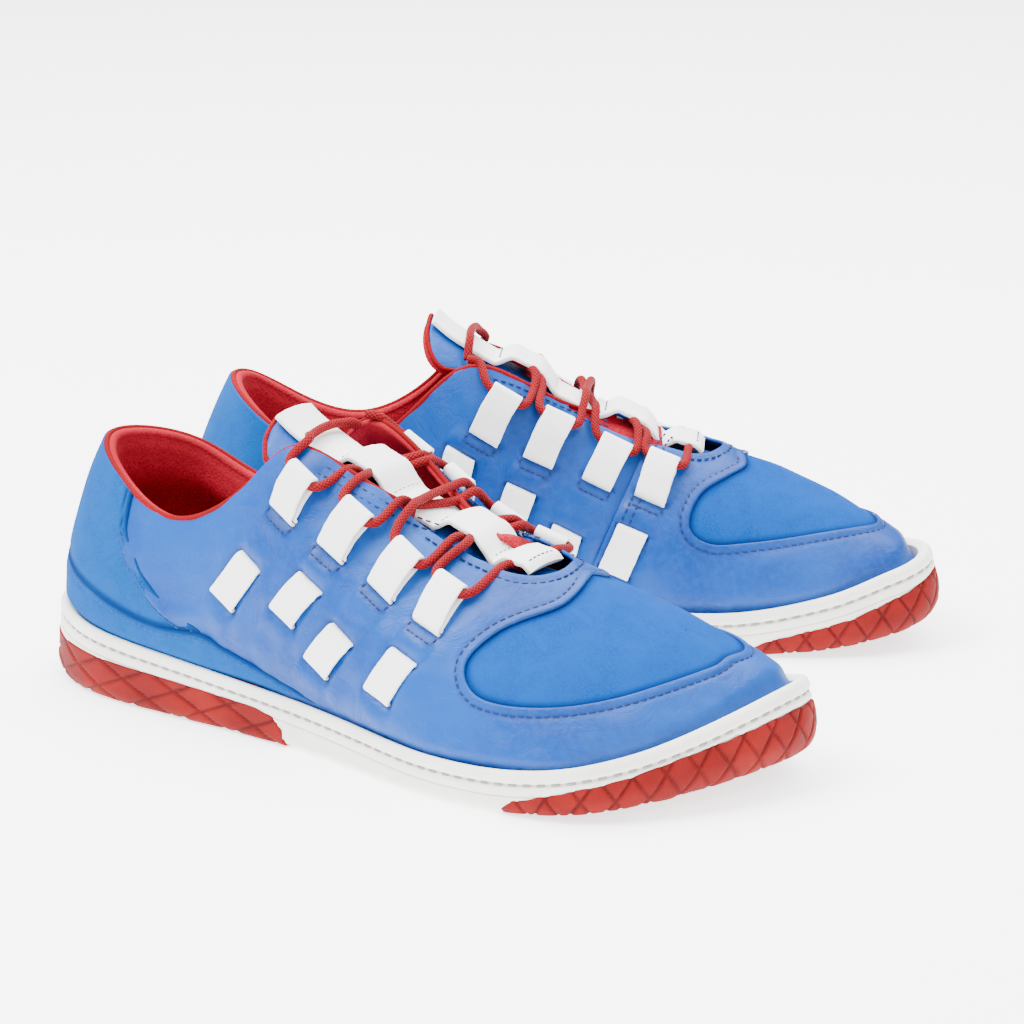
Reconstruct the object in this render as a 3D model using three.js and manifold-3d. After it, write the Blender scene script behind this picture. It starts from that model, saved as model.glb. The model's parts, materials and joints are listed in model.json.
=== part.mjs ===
// A pair of low lace-up sports shoes, side by side with their toes turned out.
// Millimetres, +Z up, +X towards the toes, origin on the floor under the middle of the pair.
// The right shoe is modelled in its own frame: heel back at x = 0, +Y towards its inner side.
// The left shoe is its mirror image.
import * as THREE from 'three';
import { mergeVertices } from 'three/addons/utils/BufferGeometryUtils.js';
import Module from 'manifold-3d';

const wasm = await Module();
wasm.setup();

// ---- Driving dimensions -------------------------------------------------------------

// Overall sizes. The ribs below draw the shoe at lastLength, lastWidth and lastHeight.
const shoeLength = 288;
const ballWidth = 107;
const heelCollarHeight = 88;
const lastLength = 288;
const lastWidth = 107;
const lastHeight = 88;

// Stance of the pair
const heelSpacing = 66.6;
const toeOutAngle = 14.45;
const leftShoeLead = 6;

// Thickness of each layer of the upper, and the play between neighbours
const leatherThickness = 1.4;
const suedeThickness = 1.1;
const liningThickness = 0.9;
const stiffenerThickness = 1.1;
const layerPlay = 0.5;
const collarPadding = 4.5;

// Sole
const plateHeight = 9;
const toeSpring = 9.5;
const toeSpringStart = 205;
const treadBevel = 3;
const wrapThickness = 3;
const wrapPlay = 0.35;
const cupPlay = 0.4;
const cupWall = 1.3;
const cupFloorPlay = 0.6;
const boardThickness = 1.8;
const footbedThickness = 4;

// Lacing
const strapWidth = 12;
const strapThickness = 1.1;
const hiddenStrapThickness = 0.4;
const hiddenStrapPlay = 0.75;
const slitPlay = 0.4;
const laceDiameter = 3.1;
const lacePlay = 0.5;

// Tongue
const tongueLeather = 1.2;
const tonguePadding = 3.4;
const tongueLiningThickness = 0.8;
const tongueStrapWidth = 20;
const tongueStrapThickness = 1.6;
const pipingDiameter = 1.8;
const pipingPlay = 0.7;

// ---- The shape of the upper ---------------------------------------------------------

// Twenty ribs run round the shoe from the middle of the heel (0), along the outer side,
// over the toe (10) and back along the inner side. Each is a cubic curve from the feather
// line up to the top line: foot, lower handle, upper handle, top.
const ribs = [
  [5, 0, 10, 2, 0, 36, 10, 0, 62, 23, 0, 88],
  [13, -21, 10, 10, -24, 36, 16, -22, 62, 26, -17, 87],
  [36, -32, 10, 34, -38, 34, 35, -33, 56, 39, -26, 79],
  [68, -36, 9, 67, -42, 30, 67, -38, 52, 68, -31, 68.5],
  [98, -38, 9, 98, -45, 34, 96, -38, 68, 97, -27, 85],
  [128, -41, 9, 127, -49, 38, 120, -38, 78, 116, -21, 98.5],
  [158, -47, 9, 157, -55, 34, 152, -38, 71, 149, -15, 84.5],
  [190, -53, 9, 190, -61, 30, 184, -31, 70, 178, 0, 75.5],
  [223, -52, 10, 223, -58, 27, 212, -30, 62, 207, 1, 67.5],
  [255, -36, 13, 256, -40, 27, 242, -19, 52, 236, 5, 56],
  [281, 15, 19, 285, 15, 32, 271, 12, 42, 248, 8, 50.5],
  [270, 38, 15, 272, 42, 30, 257, 31, 48, 240, 7, 53.5],
  [245, 46, 11, 245, 52, 28, 230, 34, 55, 222, 5, 59],
  [215, 45, 9, 215, 51, 30, 205, 31, 64, 200, 0, 69],
  [185, 41, 9, 185, 48, 36, 181, 29, 72, 178, 0, 75.5],
  [155, 34, 9, 155, 41, 38, 152, 34, 73, 149, 15, 85],
  [125, 30, 9, 124, 38, 42, 119, 33, 80, 118, 21.5, 99.5],
  [95, 29, 9, 95, 36, 36, 94, 34, 67, 95, 27, 85],
  [65, 30, 9, 64, 36, 32, 65, 35, 52, 67, 30, 68],
  [32, 27, 10, 31, 33, 36, 33, 30, 60, 38, 25, 79],
];
const ribCount = ribs.length;

// From rib ridgeStart to ridgeReturn the two sides meet along a ridge over the forefoot
const ridgeStart = 7;
const ridgeToe = 10;
const ridgeReturn = 14;
const ridgePoints = [[178, 0, 75.5], [216, 4, 67], [248, 8, 50.5]];

const scaleX = shoeLength / lastLength;
const scaleY = ballWidth / lastWidth;
const scaleZ = heelCollarHeight / lastHeight;
// Heights scale above the sole plate only, so the sole keeps its own thickness
const raise = (z) => (z > plateHeight ? plateHeight + (z - plateHeight) * scaleZ : z);
const sized = (x, y, z) => new THREE.Vector3(x * scaleX, y * scaleY, raise(z));

const ribVectors = ribs.map((r) => [0, 3, 6, 9].map((k) => sized(r[k], r[k + 1], r[k + 2])));
const ridgeVectors = ridgePoints.map((p) => sized(...p));

// Second differences of a closed natural spline through the ribs, by relaxation
function closedSplineBends(points) {
  const bends = points.map(() => new THREE.Vector3());
  const sweeps = 60;
  for (let sweep = 0; sweep < sweeps; sweep += 1) {
    points.forEach((point, i) => {
      const before = (i + ribCount - 1) % ribCount;
      const after = (i + 1) % ribCount;
      const pull = points[after].clone().add(points[before]).addScaledVector(point, -2);
      bends[i] = pull.multiplyScalar(6).sub(bends[before]).sub(bends[after]).multiplyScalar(0.25);
    });
  }
  return bends;
}
const ribBends = [0, 1, 2, 3].map((k) => closedSplineBends(ribVectors.map((r) => r[k])));

function ridgeShare(s) {
  if (s >= ridgeStart && s <= ridgeToe) {
    return Math.sin(((s - ridgeStart) / (ridgeToe - ridgeStart)) * Math.PI * 0.5);
  }
  if (s > ridgeToe && s <= ridgeReturn) {
    return Math.sin(((ridgeReturn - s) / (ridgeReturn - ridgeToe)) * Math.PI * 0.5);
  }
  return -1;
}

function ribAt(station) {
  const s = ((station % ribCount) + ribCount) % ribCount;
  const i = Math.floor(s) % ribCount;
  const j = (i + 1) % ribCount;
  const b = s - Math.floor(s);
  const a = 1 - b;
  const rib = [0, 1, 2, 3].map((k) => new THREE.Vector3()
    .addScaledVector(ribVectors[i][k], a)
    .addScaledVector(ribVectors[j][k], b)
    .addScaledVector(ribBends[k][i], (a ** 3 - a) / 6)
    .addScaledVector(ribBends[k][j], (b ** 3 - b) / 6));
  const q = ridgeShare(s);
  if (q >= 0) {
    rib[3].set(0, 0, 0)
      .addScaledVector(ridgeVectors[0], (1 - q) ** 2)
      .addScaledVector(ridgeVectors[1], 2 * q * (1 - q))
      .addScaledVector(ridgeVectors[2], q * q);
  }
  return rib;
}

// Point of the upper's outer face: s counts ribs, v runs 0 at the feather to 1 at the top
function skinPoint(s, v) {
  const [foot, low, high, top] = ribAt(s);
  return new THREE.Vector3()
    .addScaledVector(foot, (1 - v) ** 3)
    .addScaledVector(low, 3 * (1 - v) ** 2 * v)
    .addScaledVector(high, 3 * (1 - v) * v * v)
    .addScaledVector(top, v ** 3);
}

function skinNormal(s, v) {
  const du = skinPoint(s + 0.02, v).sub(skinPoint(s - 0.02, v));
  const dv = skinPoint(s, v + 0.002).sub(skinPoint(s, v - 0.002));
  return du.cross(dv).normalize();
}

const offSkin = (s, v, offset) => skinPoint(s, v).addScaledVector(skinNormal(s, v), offset);

// ---- Sheets and solids --------------------------------------------------------------

// A sheet is a list of nodes { point, normal, s, v } and of triangles over them.
// Nodes with one position are welded and share their mean normal.
function makeSheet(nodes, triangles) {
  const slots = new Map();
  const welded = [];
  const index = nodes.map((node) => {
    const key = node.point.toArray().map((c) => Math.round(c * 1000)).join(' ');
    if (!slots.has(key)) {
      slots.set(key, welded.length);
      welded.push({ ...node, normal: new THREE.Vector3() });
    }
    const slot = slots.get(key);
    welded[slot].normal.add(node.normal);
    return slot;
  });
  welded.forEach((node) => node.normal.normalize());
  const faces = triangles.map((t) => t.map((k) => index[k]));
  return { nodes: welded, faces: faces.filter(([a, b, c]) => a !== b && b !== c && c !== a) };
}

// Grid of rows and columns; place(i, j) gives [s, v], and the grid may close on itself
function skinGrid(columns, rows, place, closed = false) {
  const nodes = [];
  for (let i = 0; i < columns; i += 1) {
    for (let j = 0; j < rows; j += 1) {
      const [s, v] = place(i, j);
      nodes.push({ point: skinPoint(s, v), normal: skinNormal(s, v), s, v });
    }
  }
  const triangles = [];
  const spans = closed ? columns : columns - 1;
  for (let i = 0; i < spans; i += 1) {
    for (let j = 0; j < rows - 1; j += 1) {
      const a = i * rows + j;
      const b = ((i + 1) % columns) * rows + j;
      triangles.push([a, b, b + 1], [a, b + 1, a + 1]);
    }
  }
  return { nodes, triangles };
}

// Closes a sheet into a solid between two offsets along its normals
function thicken(sheet, inner, outer) {
  const count = sheet.nodes.length;
  const positions = [];
  [inner, outer].forEach((offset) => sheet.nodes.forEach((node) => {
    const amount = typeof offset === 'function' ? offset(node.s, node.v) : offset;
    positions.push(...node.point.clone().addScaledVector(node.normal, amount).toArray());
  }));
  const index = [];
  const edges = new Map();
  sheet.faces.forEach(([a, b, c]) => {
    index.push(a + count, b + count, c + count, a, c, b);
    [[a, b], [b, c], [c, a]].forEach(([p, q]) => edges.set(`${p} ${q}`, [p, q]));
  });
  edges.forEach(([p, q]) => {
    if (!edges.has(`${q} ${p}`)) index.push(p, q, q + count, p, q + count, p + count);
  });
  return new wasm.Manifold(new wasm.Mesh({
    numProp: 3,
    vertProperties: new Float32Array(positions),
    triVerts: new Uint32Array(index),
  }));
}

function toManifold(geometry) {
  const bare = geometry.clone();
  bare.deleteAttribute('normal');
  bare.deleteAttribute('uv');
  const merged = mergeVertices(bare, 1e-4);
  return new wasm.Manifold(new wasm.Mesh({
    numProp: 3,
    vertProperties: new Float32Array(merged.attributes.position.array),
    triVerts: new Uint32Array(merged.index.array),
  }));
}

function toGeometry(solid) {
  const mesh = solid.getMesh();
  const geometry = new THREE.BufferGeometry();
  geometry.setAttribute('position', new THREE.BufferAttribute(mesh.vertProperties, 3));
  geometry.setIndex(new THREE.BufferAttribute(mesh.triVerts, 1));
  return geometry;
}

// Straight-line reading of an outline given as [at, value] points
function along(outline, at) {
  const next = outline.findIndex(([place]) => place >= at);
  if (next <= 0) return outline[next === 0 ? 0 : outline.length - 1][1];
  const [x0, y0] = outline[next - 1];
  const [x1, y1] = outline[next];
  return y0 + ((y1 - y0) * (at - x0)) / (x1 - x0);
}

// Every layer of the upper is cut from this one lattice, so that their facets stay parallel.
// Its columns are close together round the heel and toe, and one to a rib along the sides.
const closeStep = 0.5;
const outerColumns = [];
for (let s = 0; s <= ridgeToe; s += (s < 2 || s >= 8 ? closeStep : 1)) outerColumns.push(s);
// On the inner side, the columns of the forefoot meet the outer ones along the ridge
const acrossRidge = (s) => (
  ridgeReturn - ((s - ridgeStart) * (ridgeReturn - ridgeToe)) / (ridgeToe - ridgeStart)
);
const forefoot = outerColumns.filter((s) => s >= ridgeStart && s < ridgeToe);
const innerColumns = forefoot.map(acrossRidge).reverse();
for (let s = ridgeReturn + 1; s < ribCount; s += (s < 18 ? 1 : closeStep)) innerColumns.push(s);
const latticeColumns = [...outerColumns, ...innerColumns];
const latticeRows = [0, 0.22, 0.44, 0.64, 0.82, 1];

function latticePatch(columns, rows, closed) {
  const grid = skinGrid(columns.length, rows.length, (i, j) => [columns[i], rows[j]], closed);
  return makeSheet(grid.nodes, grid.triangles);
}
const wholeSkin = latticePatch(latticeColumns, latticeRows, true);

// Cutters reach this far to each side of the skin
const cutterReach = 6;
function cutter(columns, rows, place) {
  const grid = skinGrid(columns, rows, place);
  return thicken(makeSheet(grid.nodes, grid.triangles), -cutterReach, cutterReach);
}

// Position of the heel-centred station: 0 at the back seam, + on the outer side
const heelStation = (s) => (s > ribCount / 2 ? s - ribCount : s);

// ---- Layers of the upper ------------------------------------------------------------

const leatherInner = -leatherThickness;
const middleOuter = leatherInner - layerPlay;
const middleInner = middleOuter - stiffenerThickness;
const liningOuter = middleInner - layerPlay;
const overlayInner = layerPlay;
const overlayOuter = overlayInner + suedeThickness;

// The collar is padded round the heel as far as padEnd ribs each way, above padFoot
const padEnd = 4;
const padFoot = 0.55;
function padding(s, v) {
  const round = THREE.MathUtils.smoothstep(padEnd - Math.abs(heelStation(s)), 0, 1.2);
  const rise = THREE.MathUtils.smoothstep(v, padFoot, padFoot + 0.25);
  return collarPadding * round * rise;
}

// The throat: a slot between the eyestays with a round front end, seen from above
const throatHalfWidth = 15.5 * scaleY;
const throatFront = 207 * scaleX;
const throatRear = 149 * scaleX;
function throatCutter(margin) {
  const radius = throatHalfWidth + margin;
  const outline = new THREE.Shape();
  const centre = throatFront - throatHalfWidth;
  outline.moveTo(throatRear, -radius);
  outline.lineTo(centre, -radius);
  outline.absarc(centre, 0, radius, -Math.PI / 2, Math.PI / 2, false);
  outline.lineTo(throatRear, radius);
  outline.closePath();
  const prism = new THREE.ExtrudeGeometry(outline, {
    depth: 90, bevelEnabled: false, curveSegments: 5,
  });
  prism.translate(0, 0, 40);
  return toManifold(prism);
}

// Edge of the suede vamp, as [rib station, height] points from its rear peak on the ridge,
// round the outer side to the toe, and from the toe round the inner side back to the peak
const vampOuterEdge = [
  [8, 1], [8.07, 0.88], [7.98, 0.77], [7.5, 0.59], [7.28, 0.45], [7.5, 0.36],
  [8.1, 0.38], [8.9, 0.48], [9.6, 0.66], [10, 0.75],
];
const vampInnerEdge = [
  [acrossRidge(8), 1], [12.62, 0.9], [12.9, 0.78], [13.35, 0.62], [13.55, 0.46], [13.3, 0.405],
  [12.7, 0.465], [11.7, 0.585], [10.7, 0.69], [10, 0.75],
];
function vampCutter(spread) {
  const last = vampOuterEdge.length - 1;
  const side = (edge, ridgeFrom, ridgeTo) => (i, j) => {
    const share = i / last;
    const middle = [ridgeFrom + (ridgeTo - ridgeFrom) * Math.sqrt(share), 1];
    const out = (j / 2) * (j === 0 ? 1 : spread);
    return [0, 1].map((k) => middle[k] + (edge[i][k] - middle[k]) * out);
  };
  const outerSide = skinGrid(last + 1, 3, side(vampOuterEdge, 8, ridgeToe));
  const innerSide = skinGrid(last + 1, 3, side(vampInnerEdge, acrossRidge(8), ridgeToe));
  const shift = outerSide.nodes.length;
  const joined = [
    ...outerSide.triangles.map(([a, b, c]) => [a, c, b]),
    ...innerSide.triangles.map((t) => t.map((k) => k + shift)),
  ];
  const sheet = makeSheet([...outerSide.nodes, ...innerSide.nodes], joined);
  return thicken(sheet, -cutterReach, cutterReach);
}

// The seam on the inner side where the toe wrap meets the inner quarter, leaning back
const innerSeam = (v) => 14.09 + (0.74 - v) * 1.375;
const seamPlay = 0.015;
const pastEdge = 0.1;
const quarterRows = 8;

function innerPanelCutter(play) {
  const columns = 12;
  return cutter(columns, quarterRows, (i, j) => {
    const v = -pastEdge + (j / (quarterRows - 1)) * (1 + 2 * pastEdge);
    const start = innerSeam(v) + play;
    return [start + (i / (columns - 1)) * (ribCount - play - start), v];
  });
}

// Heel counter: its front edge, as [height, stations each way from the heel seam]
const counterFront = [
  [0.3, 3.66], [0.37, 3.5], [0.49, 3.11], [0.62, 2.76], [0.74, 2.54], [0.84, 2.38], [1, 2.34],
];
// Heel band: its top edge, as [stations from the heel seam, height]
const bandTop = [
  [0, 0.47], [1.4, 0.43], [2.6, 0.385], [3.5, 0.345], [3.94, 0.265], [4.4, 0.2], [4.9, 0.15], [5.6, 0.1],
];
const bandEnd = 5.6;
const bandGap = 0.012;

function counterCutter() {
  const columns = 13;
  const rows = 6;
  return cutter(columns, rows, (i, j) => {
    const rise = j / (rows - 1);
    const front = along(counterFront, 0.34 + 0.7 * rise);
    const s = ((i / (columns - 1)) * 2 - 1) * front;
    const foot = along(bandTop, Math.abs(s)) + bandGap;
    return [s, foot + (1 + pastEdge - foot) * rise];
  });
}
function bandCutter() {
  const columns = 17;
  return cutter(columns, 2, (i, j) => {
    const s = ((i / (columns - 1)) * 2 - 1) * bandEnd;
    const top = along(bandTop, Math.abs(s)) - bandGap;
    return [s, j === 0 ? -pastEdge : top];
  });
}

// ---- Lace straps --------------------------------------------------------------------

// Each strap: [station, height] of its fold, of the slot it enters, and of the top and the
// bottom of the window where it lies outside again
const strapTracks = {
  outer_1: [[5.16, 0.92], [4.87, 0.74], [4.31, 0.585], [3.89, 0.475]],
  outer_2: [[5.79, 0.9], [5.56, 0.68], [5.31, 0.53], [4.88, 0.39]],
  outer_3: [[6.38, 0.81], [6.17, 0.625], [5.76, 0.41], [5.38, 0.255]],
  outer_4: [[6.94, 0.72], [6.77, 0.545], [6.56, 0.415], [6.28, 0.25]],
  inner_1: [[15.63, 0.92], [15.98, 0.68], [16.33, 0.62], [16.46, 0.5]],
  inner_2: [[15.08, 0.915], [15.36, 0.64], [15.6, 0.485], [15.78, 0.34]],
  inner_3: [[14.42, 0.81], [14.7, 0.6], [15.1, 0.36], [15.22, 0.225]],
  inner_4: [[13.79, 0.76], [14.04, 0.545], [14.3, 0.395], [14.55, 0.215]],
};

// Point on the flat facets of the lattice, which lie a little inside the skin
function facetPoint(s, v) {
  const columns = [...latticeColumns, ribCount];
  const i = columns.findIndex((column) => column > s) - 1;
  const j = Math.max(latticeRows.findIndex((row) => row > v) - 1, 0);
  const a = (s - columns[i]) / (columns[i + 1] - columns[i]);
  const b = (v - latticeRows[j]) / (latticeRows[j + 1] - latticeRows[j]);
  const near = skinPoint(columns[i], latticeRows[j]);
  const far = skinPoint(columns[i + 1], latticeRows[j + 1]);
  const side = a > b
    ? skinPoint(columns[i + 1], latticeRows[j])
    : skinPoint(columns[i], latticeRows[j + 1]);
  const [first, second] = a > b ? [a, b] : [b, a];
  return near.clone().addScaledVector(side.clone().sub(near), first)
    .addScaledVector(far.sub(side), second);
}

// Place on a strap's track: leg k runs from track point k to the next. The place is shifted
// down the strap and lifted off the leather, both in millimetres.
function strapStation(track, leg, share, shift, lift) {
  const [s, v] = [0, 1].map((k) => track[leg][k] + (track[leg + 1][k] - track[leg][k]) * share);
  const out = skinNormal(s, v);
  const line = skinPoint(...track[3]).sub(skinPoint(...track[0]));
  const down = line.addScaledVector(out, -out.dot(line)).normalize();
  const point = facetPoint(s, v).addScaledVector(down, shift).addScaledVector(out, lift);
  return { point, down, out, across: down.clone().cross(out) };
}

// A band of one width swept through stations { point, across, thickness }, mitred at bends
function sweptBand(stations, width) {
  const last = stations.length - 1;
  const positions = [];
  stations.forEach(({ point, across, thickness }, k) => {
    const before = point.clone().sub(stations[Math.max(k - 1, 0)].point).normalize();
    const after = stations[Math.min(k + 1, last)].point.clone().sub(point).normalize();
    const way = before.clone().add(after).normalize();
    const bend = k === 0 || k === last ? 1 : before.dot(way);
    const face = way.cross(across).normalize().multiplyScalar(thickness / 2 / bend);
    [[-1, -1], [1, -1], [1, 1], [-1, 1]].forEach(([side, level]) => {
      positions.push(...point.clone().addScaledVector(across, (side * width) / 2)
        .addScaledVector(face, level).toArray());
    });
  });
  const index = [];
  for (let k = 0; k < last; k += 1) {
    for (let c = 0; c < 4; c += 1) {
      const a = k * 4 + c;
      const b = k * 4 + ((c + 1) % 4);
      index.push(a, b, b + 4, a, b + 4, a + 4);
    }
  }
  index.push(0, 3, 2, 0, 2, 1);
  index.push(last * 4, last * 4 + 1, last * 4 + 2, last * 4, last * 4 + 2, last * 4 + 3);
  return new wasm.Manifold(new wasm.Mesh({
    numProp: 3,
    vertProperties: new Float32Array(positions),
    triVerts: new Uint32Array(index),
  }));
}

// Lifts of the middle of the strap: under the leather, against it, and in the fold, where
// the lace's middle lies laceRise off the leather
const underLift = leatherInner - hiddenStrapPlay - hiddenStrapThickness / 2;
const againstLift = strapThickness / 2 + 1.4;
const foldReach = laceDiameter / 2 + lacePlay + strapThickness / 2;
const laceRise = againstLift + foldReach;
const doubledShift = strapThickness / 2 + 0.35;
const windowShift = 0.6;
const tailLength = 4;

// The strap's way: up through the slot, back along the leather to the fold, round the lace,
// down again to the slot, under the leather, and out over the window
function strapSolid(track) {
  const outside = (...place) => (
    { ...strapStation(track, ...place), thickness: strapThickness }
  );
  const inside = (leg, share, shift) => (
    { ...strapStation(track, leg, share, shift, underLift), thickness: hiddenStrapThickness }
  );
  const fold = [-90, -135, -180, -225, -270].map((degrees) => {
    const turned = THREE.MathUtils.degToRad(degrees);
    const shift = foldReach * Math.cos(turned);
    return outside(0, 0, shift, laceRise + foldReach * Math.sin(turned));
  });
  return sweptBand([
    inside(1, 0, -doubledShift),
    outside(1, 0, -doubledShift, againstLift),
    outside(0, 0.5, 0, againstLift),
    ...fold,
    outside(1, 0, doubledShift, 2 * againstLift),
    inside(1, 0, doubledShift),
    ...[0.3, 0.65].map((share) => inside(1, share, 0)),
    inside(1, 1, -windowShift),
    outside(2, 0, -windowShift, againstLift),
    outside(2, 0.5, 0, againstLift),
    outside(2, 1, windowShift, againstLift),
    inside(2, 1, windowShift),
    inside(2, 1, tailLength),
  ], strapWidth);
}

// The three slits that a strap passes through
const slitReach = 5;
function slitCutter(track) {
  const half = strapThickness / 2 + slitPlay;
  const places = [[1, 0, 0, doubledShift + half], [2, 0, -windowShift, half], [2, 1, windowShift, half]];
  return places.map(([leg, share, shift, reach]) => {
    const { point, down, out, across } = strapStation(track, leg, share, shift, 0);
    const box = new THREE.BoxGeometry(2 * reach, 2 * slitReach, strapWidth + 2 * slitPlay);
    box.applyMatrix4(new THREE.Matrix4().makeBasis(down, out, across));
    box.translate(...point.toArray());
    return toManifold(box);
  }).reduce((a, b) => a.add(b));
}

// ---- The upper's parts --------------------------------------------------------------

const allSlits = Object.values(strapTracks).map(slitCutter).reduce((a, b) => a.add(b));
const wholeLeather = thicken(wholeSkin, leatherInner, 0).subtract(throatCutter(0));
const suedeLap = 1.1;
const upperParts = {
  main_leather: wholeLeather.subtract(innerPanelCutter(-seamPlay)).subtract(vampCutter(1))
    .subtract(allSlits),
  inner_quarter: wholeLeather.intersect(innerPanelCutter(seamPlay)).subtract(allSlits),
  vamp_suede: thicken(wholeSkin, middleInner, middleOuter).intersect(vampCutter(suedeLap))
    .subtract(throatCutter(1)),
  heel_counter: thicken(wholeSkin, overlayInner, overlayOuter).intersect(counterCutter()),
  heel_band: thicken(wholeSkin, overlayInner, overlayOuter).intersect(bandCutter()),
  lining: thicken(
    wholeSkin,
    (s, v) => liningOuter - liningThickness - padding(s, v),
    (s, v) => liningOuter - padding(s, v),
  ).subtract(throatCutter(0)),
};

const heelColumns = (reach) => [
  ...latticeColumns.filter((s) => s >= ribCount - reach).map(heelStation),
  ...latticeColumns.filter((s) => s <= reach),
];
const toeColumns = latticeColumns.filter((s) => s >= 8.5 && s <= 11.5);
upperParts.collar_foam = thicken(
  latticePatch(heelColumns(3), latticeRows.slice(3), false),
  (s, v) => middleInner - padding(s, v),
  middleOuter,
);
upperParts.heel_stiffener = thicken(
  latticePatch(heelColumns(2), latticeRows.slice(0, 3), false),
  middleInner,
  middleOuter,
);
upperParts.toe_stiffener = thicken(
  latticePatch(toeColumns, latticeRows.slice(0, 2), false),
  middleInner,
  middleOuter,
);

// ---- Sole ---------------------------------------------------------------------------

// How far the sole stands out past each rib's foot, and the height of its rim there
const soleMargins = [5, 5, 4.5, 3.4, 2.8, 2.8, 3.2, 3.4, 3.8, 4.2, 6, 4.4, 3.6, 4, 3.8, 3.8, 3.4, 4, 4, 5];
const rimHeights = [
  28.5, 27, 24.5, 22, 19.5, 17.5, 16, 14.5, 15.5, 22, 35, 31, 23, 16.5, 15, 15.5, 17.5, 20, 22, 25,
];

// The plan outline of the sole at station s, moved in by inset
function smoothTable(table, s) {
  const i = Math.floor(s) % ribCount;
  const t = s - Math.floor(s);
  const at = (k) => table[(i + k + ribCount) % ribCount];
  return at(0) + 0.5 * t * (at(1) - at(-1)
    + t * (2 * at(-1) - 5 * at(0) + 4 * at(1) - at(2) + t * (3 * (at(0) - at(1)) + at(2) - at(-1))));
}
function soleEdge(s, inset) {
  const foot = ribAt(s)[0];
  const ahead = ribAt(s + 0.02)[0].sub(ribAt(s - 0.02)[0]);
  const out = new THREE.Vector3(ahead.y, -ahead.x, 0).normalize();
  return foot.addScaledVector(out, smoothTable(soleMargins, s) - inset);
}
function treadHeight(x) {
  const start = toeSpringStart * scaleX;
  const share = Math.max(0, (x - start) / (shoeLength - start));
  return toeSpring * share * share;
}

// Solid between rings of equal length, each from the heel round the outer side and back.
// Its caps are strung across from side to side, so that a flat stretch stays flat.
function ringSolid(rings) {
  const size = rings[0].length;
  const positions = rings.flat().flatMap((p) => p.toArray());
  const index = [];
  for (let r = 0; r < rings.length - 1; r += 1) {
    for (let k = 0; k < size; k += 1) {
      const a = r * size + k;
      const b = r * size + ((k + 1) % size);
      index.push(a, b, b + size, a, b + size, a + size);
    }
  }
  const top = (rings.length - 1) * size;
  let outer = 0;
  let inner = size - 1;
  while (inner - outer > 1) {
    const outerFirst = rings[0][outer + 1].x < rings[0][inner - 1].x;
    const third = outerFirst ? outer + 1 : inner - 1;
    index.push(outer, inner, third, top + outer, top + third, top + inner);
    if (outerFirst) outer += 1;
    else inner -= 1;
  }
  return new wasm.Manifold(new wasm.Mesh({
    numProp: 3,
    vertProperties: new Float32Array(positions),
    triVerts: new Uint32Array(index),
  }));
}

const soleStations = outerColumns.slice();
for (let s = ridgeToe + closeStep; s < ribCount; s += (s < 12 || s >= 18 ? closeStep : 1)) {
  soleStations.push(s);
}

function soleBody(inset, lift) {
  const level = (height, extra) => soleStations.map((s) => {
    const p = soleEdge(s, inset + extra);
    return p.setZ(height(s, p.x));
  });
  return ringSolid([
    level((s, x) => treadHeight(x) + lift, treadBevel * 0.7),
    level((s, x) => treadHeight(x) + lift + treadBevel, 0),
    level((s) => smoothTable(rimHeights, s), 0.4),
  ]);
}

// The space that the upper fills in the cup, wider round the heel for the suede overlays
const overlayReach = 6;
function cupCavity(margin) {
  const gap = (s) => {
    const reach = Math.abs(heelStation(s));
    return margin + (overlayOuter * THREE.MathUtils.smoothstep(overlayReach + 0.5 - reach, 0, 0.5));
  };
  const rings = latticeRows.slice(0, 5).map((v) => latticeColumns.map((s) => (
    offSkin(s, v, gap(s))
  )));
  const floor = rings[0].map((p) => p.clone().setZ(p.z - cupFloorPlay));
  return ringSolid([floor, ...rings]);
}

// Side view of the two rubber wraps: they lie below these lines, [length, height]
const heelWrapLine = [[-10, 17.5], [5, 17], [30, 15.5], [80, 12.5], [112, 10.5], [119, 8], [123, -6]];
const toeWrapLine = [[214, -6], [222, 4.5], [235, 8], [255, 12], [275, 18.5], [300, 25]];
function wrapRegion(line, play) {
  const outline = new THREE.Shape();
  const ends = [line[0], line[line.length - 1]];
  const sign = ends[1][1] < ends[0][1] ? 1 : -1;
  outline.moveTo(ends[0][0] * scaleX, -20);
  line.forEach(([x, z]) => outline.lineTo((x + sign * play) * scaleX, z + play));
  outline.lineTo(ends[1][0] * scaleX, -20);
  outline.closePath();
  const slab = new THREE.ExtrudeGeometry(outline, { depth: 400, bevelEnabled: false });
  slab.rotateX(Math.PI / 2);
  slab.translate(0, 200, 0);
  return toManifold(slab);
}

const soleWhole = soleBody(0, 0);
const wrapSkin = (play) => (
  soleBody(-2 * play, -2 * play).subtract(soleBody(wrapThickness + play, wrapThickness + play))
);
const wrapRubber = soleWhole.intersect(wrapSkin(0)).subtract(cupCavity(cupPlay + cupWall));
const soleParts = {
  heel_outsole: wrapRubber.intersect(wrapRegion(heelWrapLine, 0)),
  toe_outsole: wrapRubber.intersect(wrapRegion(toeWrapLine, 0)),
  cupsole: soleWhole.subtract(cupCavity(cupPlay))
    .subtract(wrapSkin(wrapPlay).intersect(wrapRegion(heelWrapLine, wrapPlay)))
    .subtract(wrapSkin(wrapPlay).intersect(wrapRegion(toeWrapLine, wrapPlay))),
};

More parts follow.
